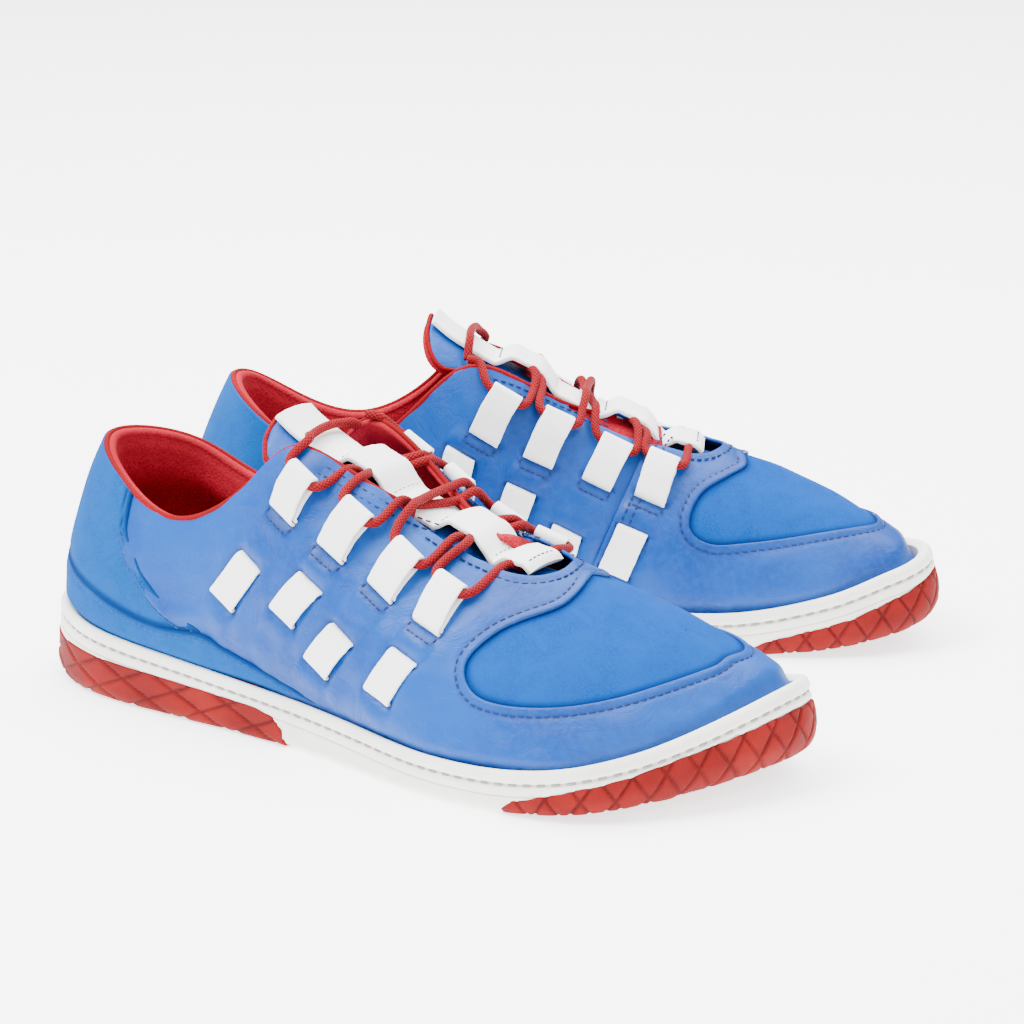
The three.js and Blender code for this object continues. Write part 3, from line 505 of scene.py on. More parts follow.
def leatherMaterial(name, look):
    material, wire, shader = newMaterial(name)
    place = wire.node("ShaderNodeTexCoord", output=3)
    broad = wire.noise(place, 22, 3)
    fine = wire.noise(place, 420, 4, 0.6)
    cells = wire.node("ShaderNodeTexVoronoi", {"feature": "DISTANCE_TO_EDGE"},
                      {"Vector": place, "Scale": look["grain"]})
    lines = wire.noise(place, look["crease"], 5, 0.62, 1.6)
    folds = (lines - 0.5).maths("ABSOLUTE", lines - 0.5).between(0.0, 0.05)
    tone = broad.between(0.3, 0.7).blend(look["deep"], look["light"])
    tint = (fine.between(0.35, 0.7) * 0.5).blend(tone, look["light"])
    grain = cells.between(0, 0.25)
    # the seam attribute holds painted shade: the colour is darkened towards a shade colour at the strap slits,
    # in stitch grooves and along panel edges
    paintedShade = wire.node("ShaderNodeAttribute", {"attribute_name": "seam"}, output=2)
    shaded = (paintedShade * look["seamShade"]).blend(tint, look["paintedShadeColour"])
    under = wire.bump(folds, look["foldStrength"], 0.0004)
    surface = wire.bump(grain * 0.6 + fine * 0.5, look["grainStrength"], 0.00012, under)
    finishShader(wire, shader, {
        "Base Color": shaded,
        "Roughness": look["roughness"] + fine * 0.12 + (1 - folds) * 0.08,
        "Normal": surface,
        "Specular IOR Level": look["gloss"], "Coat Weight": 0.0, "Sheen Weight": look["sheen"],
        "Sheen Roughness": 0.4})
    return material


def suedeMaterial(name, look):
    material, wire, shader = newMaterial(name)
    place = wire.node("ShaderNodeTexCoord", output=3)
    nap = wire.noise(place, 1500, 3, 0.7)
    strokes = wire.noise(place, 90, 4, 0.6, 0.8)
    broad = wire.noise(place, 20, 2)
    tone = strokes.between(0.32, 0.68) * 0.6 + broad.between(0.3, 0.7) * 0.4
    tone = tone.blend(look["deep"], look["light"])
    tint = nap.between(0.3, 0.72).blend(tone, look["nap"])
    # painted shade: the seam attribute darkens the suede towards a shade colour along panel edges and in stitch
    # grooves
    paintedShade = wire.node("ShaderNodeAttribute", {"attribute_name": "seam"}, output=2)
    finishShader(wire, shader, {
        "Base Color": (paintedShade * look["seamShade"]).blend(tint, look["paintedShadeColour"]),
        "Roughness": 0.86 + nap * 0.1,
        "Normal": wire.bump(nap + strokes * 0.4, 0.6, 0.0003),
        "Specular IOR Level": 0.06, "Sheen Weight": look["sheen"], "Sheen Roughness": 0.35,
        "Sheen Tint": look["light"]})
    return material


def clothMaterial(name, look):
    material, wire, shader = newMaterial(name)
    place = wire.node("ShaderNodeTexCoord", output=3)
    loops = wire.node("ShaderNodeTexVoronoi", None, {"Vector": place, "Scale": look["weave"]})
    fuzz = wire.noise(place, 1300, 3, 0.6)
    broad = wire.noise(place, 30, 3)
    tone = broad.between(0.3, 0.7).blend(look["deep"], look["light"])
    # the gaps between the woven loops are painted darker: painted shade; the broad tone varies at random
    tint = (loops * 0.7).between(0.1, 0.6).blend(tone, look["deep"])
    finishShader(wire, shader, {
        "Base Color": tint, "Roughness": 0.8 + fuzz * 0.15,
        "Normal": wire.bump((1 - loops) + fuzz * 0.4, 0.5, 0.00025),
        "Specular IOR Level": 0.12, "Sheen Weight": look["sheen"], "Sheen Roughness": 0.4,
        "Sheen Tint": look["light"]})
    return material


def rubberMaterial(name, look):
    material, wire, shader = newMaterial(name)
    place = wire.node("ShaderNodeTexCoord", output=3)
    broad = wire.noise(place, 35, 3)
    fine = wire.noise(place, 900, 4, 0.65)
    marks = wire.noise(place, 160, 5, 0.6, 0.5)
    tone = broad.between(0.3, 0.7).blend(look["deep"], look["light"])
    # painted shade: the seam attribute darkens the rubber towards a shade colour in its grooves
    paintedGrooveShade = wire.node("ShaderNodeAttribute", {"attribute_name": "seam"}, output=2)
    tint = (paintedGrooveShade * look["seamShade"]).blend(tone, look["paintedShadeColour"])
    finishShader(wire, shader, {
        "Base Color": (marks.between(0.6, 0.85) * 0.35).blend(tint, look["deep"]),
        "Roughness": look["roughness"] + fine * 0.16,
        "Normal": wire.bump(fine + marks * 0.5, look["bump"], 0.0002),
        "Specular IOR Level": look["gloss"], "Subsurface Weight": 0.0})
    return material


def laceMaterial(name, look):
    # braided: two crossing families of threads round the cord, with the grooves between the threads painted
    # darker: painted shade
    material, wire, shader = newMaterial(name)
    spot = wire.node("ShaderNodeUVMap", {"uv_map": "along"})
    split = wire.tree.nodes.new("ShaderNodeSeparateXYZ")
    wire.feed(split.inputs[0], spot)
    around, length = Wire(wire.tree, split.outputs[0]), Wire(wire.tree, split.outputs[1])
    left = wire.maths("SINE", (around * 8 + length * look["pitch"]) * math.pi)
    right = wire.maths("SINE", (around * 8 - length * look["pitch"]) * math.pi)
    threads = left * left * 0.5 + right * right * 0.5
    place = wire.node("ShaderNodeTexCoord", output=3)
    fuzz = wire.noise(place, 1800, 3, 0.6)
    finishShader(wire, shader, {
        "Base Color": threads.between(0.15, 0.75).blend(look["deep"], look["light"]),
        "Roughness": 0.62 + fuzz * 0.2,
        "Normal": wire.bump(threads + fuzz * 0.3, 0.7, 0.0005),
        "Specular IOR Level": 0.12, "Sheen Weight": 0.04, "Sheen Roughness": 0.4})
    return material


def threadMaterial(name, shade, roughness=0.6):
    material, wire, shader = newMaterial(name)
    place = wire.node("ShaderNodeTexCoord", output=3)
    twist = wire.noise(place, 2600, 2, 0.6)
    finishShader(wire, shader, {
        "Base Color": twist.between(0.3, 0.7).blend(colour(*[c * 0.65 for c in shade]), colour(*shade)),
        "Roughness": roughness + twist * 0.1, "Normal": wire.bump(twist, 0.4, 0.0002),
        "Specular IOR Level": 0.3})
    return material


# seamShade and the shade colour after it: how strongly, and towards which colour, the painted shade in the seam
# attribute darkens each material
blues = {"deep": colour(0.0, 0.034, 0.2), "light": colour(0.0, 0.062, 0.3)}
blueLeather = leatherMaterial("blue_leather", {
    **blues, "grain": 1150, "crease": 55, "seamShade": 0.8, "paintedShadeColour": colour(0.0, 0.012, 0.1),
    "foldStrength": 0.2, "grainStrength": 0.25, "roughness": 0.36, "gloss": 0.22, "sheen": 0.0})
blueSuede = suedeMaterial("blue_suede", {
    "deep": colour(0.0, 0.046, 0.2), "light": colour(0.002, 0.075, 0.28), "nap": colour(0.001, 0.072, 0.28),
    "seamShade": 0.8, "paintedShadeColour": colour(0.0, 0.009, 0.07), "sheen": 0.05})
vampSuede = suedeMaterial("blue_vamp_suede", {
    "deep": colour(0.0, 0.036, 0.2), "light": colour(0.0, 0.058, 0.28), "nap": colour(0.0, 0.06, 0.28),
    "seamShade": 0.8, "paintedShadeColour": colour(0.0, 0.008, 0.07), "sheen": 0.02})
whiteLeather = leatherMaterial("white_leather", {
    "deep": colour(0.84, 0.835, 0.82), "light": colour(0.92, 0.915, 0.905), "grain": 900, "crease": 90,
    "seamShade": 0.4, "paintedShadeColour": colour(0.35, 0.33, 0.32), "foldStrength": 0.1, "grainStrength": 0.25,
    "roughness": 0.6, "gloss": 0.35, "sheen": 0.0})
redLining = clothMaterial("red_lining", {
    "deep": colour(0.26, 0.005, 0.014), "light": colour(0.42, 0.012, 0.03), "weave": 1300, "sheen": 0.04})
redPiping = clothMaterial("red_piping", {
    "deep": colour(0.16, 0.001, 0.003), "light": colour(0.27, 0.002, 0.006), "weave": 1700, "sheen": 0.02})
redLace = laceMaterial("red_lace", {
    "deep": colour(0.09, 0.0005, 0.002), "light": colour(0.27, 0.003, 0.008), "pitch": 2.2})
whiteRubber = rubberMaterial("white_rubber", {
    "deep": colour(0.76, 0.745, 0.7), "light": colour(0.84, 0.83, 0.79), "seamShade": 0.5,
    "paintedShadeColour": colour(0.4, 0.37, 0.32), "roughness": 0.5, "bump": 0.2, "gloss": 0.4})
redRubber = rubberMaterial("red_rubber", {
    "deep": colour(0.14, 0.0012, 0.001), "light": colour(0.2, 0.003, 0.002), "seamShade": 0.8,
    "paintedShadeColour": colour(0.05, 0.0004, 0.0006), "roughness": 0.6, "bump": 0.3, "gloss": 0.15})
blueThread = threadMaterial("blue_thread", (0.0, 0.012, 0.09))
seamThread = threadMaterial("seam_thread", (0.002, 0.045, 0.24))
greyThread = threadMaterial("grey_thread", (0.34, 0.33, 0.31))
print("materials made")


# ---- stitches ----
def stitchRow(points, normals, pitch, length, radius, flat=0.7, sink=0.35):
    # one small round-ended thread for every stitch
    total = pathLength(points)
    count = max(int(total / pitch), 1)
    run = np.concatenate([[0], np.cumsum(np.linalg.norm(np.diff(points, axis=0), axis=1))])

    def at(distance, source):
        return np.stack([np.interp(distance, run, source[:, k]) for k in range(3)], 1)

    middle = (np.arange(count) + 0.5) * total / count
    centre = at(middle, points)
    heading = unit(at(middle + length / 2, points) - at(middle - length / 2, points))
    out = unit(at(middle, normals))
    side = unit(np.cross(out, heading))
    out = np.cross(heading, side)
    rings = [(-0.5, 0.25), (-0.4, 0.8), (-0.15, 1), (0.15, 1), (0.4, 0.8), (0.5, 0.25)]
    corners = 6
    shape = []
    for along, share in rings:
        for k in range(corners):
            turn = 2 * math.pi * (k + 0.5) / corners
            shape.append((along * length, share * radius * math.cos(turn),
                          share * radius * flat * math.sin(turn) + radius * flat * (0.5 - sink)))
    shape = np.array(shape)
    points = (centre[:, None] + heading[:, None] * shape[None, :, :1] + side[:, None] * shape[None, :, 1:2]
              + out[:, None] * shape[None, :, 2:])
    faces = []
    for r in range(len(rings) - 1):
        for k in range(corners):
            a, b = r * corners + k, r * corners + (k + 1) % corners
            faces += [(a, b, b + corners), (a, b + corners, a + corners)]
    last = (len(rings) - 1) * corners
    for k in range(1, corners - 1):
        faces += [(0, k + 1, k), (last, last + k, last + k + 1)]
    faces = np.array(faces)[:, ::-1]
    size = len(shape)
    tris = (faces[None] + (np.arange(count) * size)[:, None, None]).reshape(-1, 3)
    return points.reshape(-1, 3), tris


def merged(parts):
    points, faces, start = [], [], 0
    for some, tris in parts:
        points.append(some)
        faces.append(np.asarray(tris) + start)
        start += len(some)
    return np.concatenate(points), np.concatenate(faces)


def ride(piece, body, slot, *nodes):
    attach(piece, body)
    if nodes:
        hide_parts(*nodes)
    return piece


def loft(rings, capped=True, loop=True):
    # rings of points joined into a closed skin
    rings = np.asarray(rings, float)
    n, m = rings.shape[:2]
    index = np.arange(n * m).reshape(n, m)
    index = np.concatenate([index, index[:, :1]], 1) if loop else index
    a, b, c, d = index[:-1, :-1], index[:-1, 1:], index[1:, 1:], index[1:, :-1]
    faces = np.concatenate([np.stack([a, b, c], -1).reshape(-1, 3), np.stack([a, c, d], -1).reshape(-1, 3)])
    points = rings.reshape(-1, 3)
    if capped:
        ends = np.stack([rings[0].mean(0), rings[-1].mean(0)])
        first, last = index[0], index[-1]
        faces = np.concatenate([
            faces,
            np.stack([np.full(m, n * m), first[1:], first[:-1]], -1),
            np.stack([np.full(m, n * m + 1), last[:-1], last[1:]], -1)])
        points = np.concatenate([points, ends])
    return points, faces


def tubeRings(path, radius, corners=12):
    heading = unit(np.gradient(path, axis=0))
    side = np.zeros_like(path)
    now = np.cross(heading[0], [0.1, 0.2, 1.0])
    for k, way in enumerate(heading):
        now = now - way * (now @ way)
        now = now / np.linalg.norm(now)
        side[k] = now
    out = np.cross(heading, side)
    turn = 2 * math.pi * np.arange(corners) / corners
    radius = np.broadcast_to(radius, (len(path),))[:, None, None]
    return (path[:, None] + side[:, None] * (np.cos(turn)[None, :, None] * radius)
            + out[:, None] * (np.sin(turn)[None, :, None] * radius))


def bandRings(path, across, width, thickness, corner=0.4):
    # a flat strap with softened edges along a path
    heading = unit(np.gradient(path, axis=0))
    across = unit(across - heading * (across * heading).sum(1, keepdims=True))
    face = np.cross(heading, across)
    half, thick = width / 2, thickness / 2
    shape = []
    for cx, cy, start in ((half - corner, thick - corner, 0), (-half + corner, thick - corner, 90),
                          (-half + corner, -thick + corner, 180), (half - corner, -thick + corner, 270)):
        for degrees in (0, 45, 90):
            turn = math.radians(start + degrees)
            shape.append((cx + corner * math.cos(turn), cy + corner * math.sin(turn)))
        if start in (0, 180):
            sign = 1 if start == 0 else -1
            for share in (0.5, 0, -0.5):
                shape.append((sign * share * half, sign * thick))
    shape = np.array(shape)
    return path[:, None] + across[:, None] * shape[None, :, :1] + face[:, None] * shape[None, :, 1:]


def waves(points, size, seed, count=7):
    source = np.random.default_rng(seed)
    total = np.zeros(len(points))
    for k in range(count):
        way = unit(source.normal(size=3))
        pitch = size * source.uniform(0.7, 1.5)
        total += np.sin(points @ way * 2 * math.pi / pitch + source.uniform(0, 6.28))
    return total / math.sqrt(count)


# ---- where the straps run: fold, slot, window top and window bottom ----
strap = {"width": 11.6, "thickness": 1.15, "against": 0.9, "foldReach": 2.15, "laceRise": 3.1, "lower": 0.2,
         "window": 0.55}
strapTracks = {
    "outer_1": [[5.16, 0.92], [4.87, 0.74], [4.31, 0.585], [3.89, 0.475]],
    "outer_2": [[5.79, 0.9], [5.56, 0.68], [5.31, 0.53], [4.88, 0.39]],
    "outer_3": [[6.38, 0.81], [6.17, 0.625], [5.76, 0.41], [5.38, 0.255]],
    "outer_4": [[6.94, 0.72], [6.77, 0.545], [6.56, 0.415], [6.28, 0.25]],
    "inner_1": [[15.63, 0.92], [15.98, 0.68], [16.33, 0.62], [16.46, 0.5]],
    "inner_2": [[15.08, 0.915], [15.36, 0.64], [15.6, 0.485], [15.78, 0.34]],
    "inner_3": [[14.42, 0.81], [14.7, 0.6], [15.1, 0.36], [15.22, 0.225]],
    "inner_4": [[13.79, 0.76], [14.04, 0.545], [14.3, 0.395], [14.55, 0.215]],
}


def tucked(places, points, depth=2.2):
    # the upper draws in where it goes down behind the rim
    return -depth * (1 - smooth(points[:, 2] - smoothTable(rimHeights, places[:, 0]), -1.5, 3.5))


def strapSpot(track, leg, share=0.0, shift=0.0, lift=0.0):
    track = np.array(track)
    s, v = track[leg] + (track[min(leg + 1, 3)] - track[leg]) * share
    out = skinNormal(s, v)
    line = skinPoint(*track[3]) - skinPoint(*track[0])
    down = unit(line - out * (out @ line))
    across = np.cross(down, out)
    return skinPoint(s, v) + down * shift + out * lift, down, out, across


strapMarks = []
for track in strapTracks.values():
    slot, top, bottom = [strapSpot(track, leg) for leg in (1, 2, 3)]
    strapMarks.append((slot, top, bottom))


def strapDents(points):
    # the leather dips at each slit, and stands up over the strap between slits; the shade it also returns is
    # painted shade, darkest at each slit and round the edge of the sunken patch about each slot box
    rise = np.zeros(len(points))
    shade = np.zeros(len(points))
    for slot, top, bottom in strapMarks:
        for (spot, down, out, across), depth, side in ((slot, 1.1, 1), (top, 1.3, -1), (bottom, 1.3, 1)):
            local = points - spot
            a, b, c = local @ across, local @ down, local @ out
            wide = 1 - smooth(np.abs(a), 5.6, 7.6)
            near = wide * (np.abs(c) < 9)
            rise -= depth * near * bell(b, 1.3)
            rise += 0.75 * near * bell(b - 5.5 * side, 3.6)
            # painted shade at the slit
            shade = np.maximum(shade, near * bell(b, 1.1))
            if spot is slot[0]:
                patch = (1 - smooth(np.abs(a), 6.2, 6.9)) * smooth(b, 0.2, 0.9)
                patch = patch * (1 - smooth(b, 5.4, 6.1)) * (np.abs(c) < 9)
                core = (1 - smooth(np.abs(a), 5.0, 5.6)) * smooth(b, 1.6, 2.1) * (1 - smooth(b, 4.2, 4.8))
                rise -= 0.45 * patch
                # painted shade in the sunken patch round the slot box, lighter in its middle
                shade = np.maximum(shade, 0.75 * patch * (1 - 0.6 * core))
        middle = (top[0] + bottom[0]) / 2
        half = np.linalg.norm(bottom[0] - top[0]) / 2
        local = points - middle
        a, b, c = local @ top[3], local @ unit(bottom[0] - top[0]), local @ top[2]
        flat = (1 - smooth(np.abs(a), 5.5, 7.5)) * (1 - smooth(np.abs(b), half, half + 1.5)) * (np.abs(c) < 9)
        rise -= 0.5 * flat
        rise += 0.5 * bell(np.abs(a) - 9, 3) * (1 - smooth(np.abs(b), half, half + 6)) * (np.abs(c) < 9)
        between = (slot[0] + top[0]) / 2
        gap = max(np.linalg.norm(top[0] - slot[0]) / 2 - 1.5, 1)
        local = points - between
        a, b, c = local @ slot[3], local @ unit(top[0] - slot[0]), local @ slot[2]
        swell = 0.35 * (1 - smooth(np.abs(a), 4, 8)) * (1 - smooth(np.abs(b), gap * 0.5, gap))
        rise += swell * (np.abs(c) < 9)
    return rise, shade


# ---- the lines on the upper ----
vampOuter = [[8, 1], [8.07, 0.88], [7.98, 0.77], [7.5, 0.59], [7.28, 0.45], [7.5, 0.36], [8.1, 0.38],
             [8.9, 0.48], [9.6, 0.66], [10, 0.75]]
vampInner = [[12.667, 1], [12.62, 0.9], [12.9, 0.78], [13.35, 0.62], [13.55, 0.46], [13.3, 0.405],
             [12.7, 0.465], [11.7, 0.585], [10.7, 0.69]]
vampEdge = pathThrough(vampOuter + vampInner[::-1], 300)
vampHole = lineField(skinPoint, vampEdge, np.concatenate([vampEdge, [[12.667, 1.4], [8, 1.4]]]))
counterTable = np.array([[0.2, 4.1], [0.3, 3.66], [0.37, 3.5], [0.49, 3.11], [0.62, 2.76], [0.74, 2.54],
                         [0.84, 2.38], [1.05, 2.33]])
bandTable = np.array([[0, 0.47], [1.4, 0.43], [2.6, 0.385], [3.5, 0.345], [3.94, 0.265], [4.4, 0.2],
                      [4.9, 0.15], [5.6, 0.1], [7, 0.045]])
seamAt, seamTilt = (14.09, 0.74), 1.375


def innerSeam(v):
    return seamAt[0] + (seamAt[1] - v) * seamTilt


def throatField(places):
    point = skinPoint(places[:, 0], places[:, 1])
    return np.hypot(np.maximum(point[:, 0] - 191.5, 0), point[:, 1]) - 15.5


forefoot = np.linspace(7, 10, 84)
acrossRidge = 14 - (forefoot - 7) * 4 / 3
sides = ["right", "left"]
upperEdge = ((0.45, 0.0), (0.75, -0.35), (0.85, -0.8), (0.55, -1.25))


def mainField(places):
    counter = (places[:, 0] - np.interp(places[:, 1], counterTable[:, 0], counterTable[:, 1]) + 0.2) * 31
    seam = (innerSeam(places[:, 1]) - places[:, 0]) * 27
    return np.minimum.reduce([-vampHole(places) - 0.8, throatField(places) - 0.6, counter, seam])


def mainRelief(places, points):
    rise = strapDents(points)[0]
    edge = -vampHole(places)
    rise += 0.35 * bell(edge - 1.3, 0.9) - 0.4 * bell(edge - 3.2, 0.8)
    throat = throatField(places)
    rise += 0.25 * bell(throat - 1.2, 0.9) - 0.25 * bell(throat - 3, 0.7)
    rise += (0.42 * waves(points, 30, 3) + 0.13 * waves(points, 10, 5)) * smooth(edge, 2, 10)
    band = (places[:, 1] - np.interp(places[:, 0], bandTable[:, 0], bandTable[:, 1])) * 75
    rise += np.where(places[:, 0] < 9, 0.9 * bell(band - 6, 4.5), 0)
    return rise + tucked(places, points, 1.5)


def pieceFromShell(name, side, material, made, values=None, smoothAngle=50):
    return makePiece(name, made[0], made[1], side, material, values, smoothAngle)


columns = np.concatenate([np.linspace(2.02, 7, 140), forefoot[1:], acrossRidge[::-1][1:],
                          np.linspace(14, 15.2, 34)[1:]])
rows = np.linspace(0.0, 1, 72)
mainShell = shellOf(skinPoint, columns, rows, mainField, 0, 1.4, upperEdge, mainRelief)
quarterColumns = np.linspace(13.6, 17.95, 128)


def quarterField(places):
    counter = (20 - places[:, 0] - np.interp(places[:, 1], counterTable[:, 0], counterTable[:, 1]) + 0.2) * 31
    seam = (places[:, 0] - innerSeam(places[:, 1]) + 0.17) * 27
    return np.minimum.reduce([counter, seam, throatField(places) - 0.6 + (places[:, 0] > 15) * 50])


def quarterRelief(places, points):
    rise = strapDents(points)[0]
    seam = (places[:, 0] - innerSeam(places[:, 1])) * 27
    band = (places[:, 1] - np.interp(20 - places[:, 0], bandTable[:, 0], bandTable[:, 1])) * 75
    rise += 0.42 * waves(points, 30, 3) + 0.13 * waves(points, 10, 5) + 0.9 * bell(band - 6, 4.5)
    return rise - 1.3 * (1 - smooth(seam, 0.3, 5)) + tucked(places, points, 1.5)


quarterShell = shellOf(skinPoint, quarterColumns, rows, quarterField, 0, 1.3, upperEdge, quarterRelief)

vampHalf = np.linspace(7.0, 10, 90)
vampColumns = np.concatenate([vampHalf, (14 - (vampHalf - 7) * 4 / 3)[::-1][1:]])


def vampField(places):
    return np.minimum(vampHole(places) + 4, throatField(places) - 1.5)


def vampRelief(places, points):
    return 0.75 * smooth(vampHole(places), 0.5, 14) + 0.12 * waves(points, 18, 8)


vampShell = shellOf(skinPoint, vampColumns, np.linspace(0.27, 1, 62), vampField, -0.95, 1.1,
                    ((0.4, -0.2), (0.5, -0.6)), vampRelief)


counterPath = np.concatenate([
    pathThrough(counterTable[::-1][:, ::-1] * [-1, 1], 90), pathThrough(counterTable[:, ::-1], 90)])
counterInside = lineField(skinPoint, counterPath, np.concatenate([counterPath, [[2.33, 1.6], [-2.33, 1.6]]]))
bandPath = pathThrough(np.concatenate([bandTable[::-1] * [-1, 1], bandTable[1:]]), 240)
bandInside = lineField(skinPoint, bandPath, np.concatenate([bandPath, [[7, -0.5], [-7, -0.5]]]))


def counterRelief(places, points):
    edge = counterInside(places)
    band = bandInside(places)
    rise = 0.5 * smooth(edge, 1, 12) - 0.3 * bell(edge - 2.6, 0.8) - 0.22 * bell(edge - 5.2, 0.7)
    return rise + 0.12 * waves(points, 26, 11) - 0.25 * bell(band + 1.5, 2)


def bandRelief(places, points):
    edge = bandInside(places)
    reach = np.abs(places[:, 0])
    rise = 0.1 - 0.5 * smooth(reach, 3.3, 4.3) + 0.3 * bell(edge - 4, 3) - 0.28 * bell(edge - 2.3, 0.8)
    return rise + tucked(places, points, 2.6)


counterShell = shellOf(skinPoint, np.linspace(-4.0, 4.0, 216), np.linspace(0.2, 1, 62),
                       lambda places: np.minimum(counterInside(places) - 0.6, 5 - bandInside(places)),
                       0.35, 1.5, ((0.4, -0.05), (0.65, -0.4), (0.6, -1.0)), counterRelief)
bandShell = shellOf(skinPoint, np.linspace(-7, 7, 380), np.linspace(-0.02, 0.49, 36),
                    lambda places: bandInside(places) - 0.5,
                    0.75, 1.6, ((0.4, -0.05), (0.6, -0.4), (0.5, -1.0)), bandRelief)


def seamShade(made, *marks):
    # painted shade: darker in a band about each given line on the piece
    places = made[2]
    shade = np.zeros(len(places))
    for field, at, width in marks:
        shade = np.maximum(shade, bell(field(places) - at, width))
    return {"seam": shade}


def leatherShade(made):
    # painted shade: darker at the strap slits and slot boxes, in the groove beside the vamp's stitching and
    # along the leather's edge at the vamp
    places = made[2]
    here = skinPoint(places[:, 0], places[:, 1])
    shade = strapDents(here)[1]
    edge = -vampHole(places)
    shade = np.maximum(shade, 0.55 * bell(edge - 3.2, 0.7))
    shade = np.maximum(shade, 0.6 * bell(edge, 0.9))
    return {"seam": shade}


mainShade, quarterShade = leatherShade(mainShell), leatherShade(quarterShell)
# painted shade under the leather's edge on the vamp, along the counter's edge and stitch groove, where the band
# meets the counter, and along the band's edge
vampShade = seamShade(vampShell, (vampHole, 0, 1.6))
counterShade = seamShade(counterShell, (counterInside, 0.4, 0.9), (counterInside, 2.6, 0.5),
                         (bandInside, -0.4, 1.2))
bandShade = seamShade(bandShell, (bandInside, 0.3, 0.9))
for side in sides:
    body = side + "_shoe"
    ride(pieceFromShell("upper_leather", side, blueLeather, mainShell, mainShade), body, "blue_leather",
         side + "_main_leather")
    ride(pieceFromShell("inner_quarter_leather", side, blueLeather, quarterShell, quarterShade), body,
         "blue_leather", side + "_inner_quarter")
    ride(pieceFromShell("vamp", side, vampSuede, vampShell, vampShade), body, "blue_suede",
         side + "_vamp_suede", side + "_toe_stiffener")
    ride(pieceFromShell("counter", side, blueSuede, counterShell, counterShade), body, "blue_suede",
         side + "_heel_counter", side + "_heel_stiffener")
    ride(pieceFromShell("lower_band", side, blueSuede, bandShell, bandShade), body, "blue_suede",
         side + "_heel_band")
print("upper made")


# ---- stitching on the upper ----
def skinStitches(path, sidewaysBy, lift, pitch=3.0, length=2.1, radius=0.42, relief=None):
    path = evenly(np.column_stack([skinPoint(path[:, 0], path[:, 1]), path]), 220)[:, 3:]
    if sidewaysBy:
        path = sideways(path, sidewaysBy)
    points = skinPoint(path[:, 0], path[:, 1])
    normals = skinNormal(path[:, 0], path[:, 1])
    rise = lift + (relief(path, points) if relief is not None else 0)
    rise = np.broadcast_to(rise, (len(points),))[:, None]
    return stitchRow(points + normals * rise, normals, pitch, length, radius)


vampRow = skinStitches(vampEdge[2:-2], 3.2, 0, 2.9, 2.1, 0.42, mainRelief)
throatTurn = np.linspace(-math.pi / 2, math.pi / 2, 60)


def foundOnSkin(points, near):
    # the places on the skin nearest to some points, starting from a known place
    places = np.tile(np.array(near, float), (len(points), 1))
    for turn in range(6):
        places = places + skinStep(places, points - skinPoint(places[:, 0], places[:, 1]))
    return places


def throatLine(distance):
    # the U round the front of the lacing, found on the skin
    radius = 15.5 + distance
    target = [(x, -radius) for x in np.linspace(163, 191.5, 30)]
    target += [(191.5 + radius * math.cos(a), radius * math.sin(a)) for a in throatTurn]
    target += [(x, radius) for x in np.linspace(191.5, 163, 30)]
    line = []
    for x, y in target:
        s = 7.0 if y < 0 else 13.9
        v = 0.95
        for turn in range(14):
            point = skinPoint(s, v)
            along, up = partials(skinPoint, np.array(s), np.array(v))
            dx, dy = x - point[0], y - point[1]
            det = along[0] * up[1] - along[1] * up[0]
            if abs(det) < 1e-6:
                break
            s += np.clip((dx * up[1] - dy * up[0]) / det, -0.3, 0.3)
            v += np.clip((along[0] * dy - along[1] * dx) / det, -0.08, 0.08)
            v = min(v, 0.999)
        line.append(skinPoint(s, v))
    return np.array(line)


def pointStitches(points, lift, **options):
    up = np.tile([0.0, 0.0, 1.0], (len(points), 1))
    return stitchRow(points + up * lift, up, **options)


throatRow = pointStitches(throatLine(3.0), 0.05, pitch=2.9, length=2.1, radius=0.42)
counterHalf = pathThrough(counterTable[1:-1][:, ::-1], 120)
counterRows = [skinStitches(counterHalf * [flip, 1], distance * flip, 0.35, 2.6, 1.9, 0.36, counterRelief)
               for flip in (1, -1) for distance in (-2.6, -5.2)]
bandRow = [skinStitches(bandPath[8:-8], 2.3, 0.75, 2.8, 2.0, 0.36, bandRelief)]
seamV = np.linspace(0.12, 0.93, 100)
seamPath = np.stack([innerSeam(seamV), seamV], 1)
seamRows = [skinStitches(seamPath, -distance, 0, 2.9, 2.1, 0.42, mainRelief) for distance in (2.4, 5.4)]


def eyestayRow(top, distance):
    # two lines of thread beside the lacing edge
    line = np.array(top, float)
    return skinStitches(pathThrough(line, 160), distance, 0, 2.9, 2.0, 0.36)


eyestayRows = []
for v in (0.965, 0.925):
    eyestayRows.append(eyestayRow([[4.75, v - 0.02], [5.3, v], [6.0, v], [6.5, v - 0.02]], 0))
    eyestayRows.append(eyestayRow([[15.95, v - 0.02], [15.4, v], [15.0, v], [14.5, v - 0.02]], 0))
slotRows = []
for track, (slot, top, bottom) in zip(strapTracks.values(), strapMarks):
    spot, down, out, across = slot
    corners = [(-5.9, 1.2), (5.9, 1.2), (5.9, 5.2), (-5.9, 5.2), (-5.9, 1.2)]
    for (ax, ay), (bx, by) in zip(corners[:-1], corners[1:]):
        t = np.linspace(0.06, 0.94, 12)[:, None]
        line = (np.array([ax, ay]) * (1 - t) + np.array([bx, by]) * t)
        points = spot + across * line[:, :1] + down * line[:, 1:]
        places = foundOnSkin(points, track[1])
        points = skinPoint(places[:, 0], places[:, 1])
        normals = skinNormal(places[:, 0], places[:, 1])
        points = points + normals * (mainRelief(places, points)[:, None] + 0.02)
        slotRows.append(stitchRow(points, normals, 1.95, 1.6, 0.36))


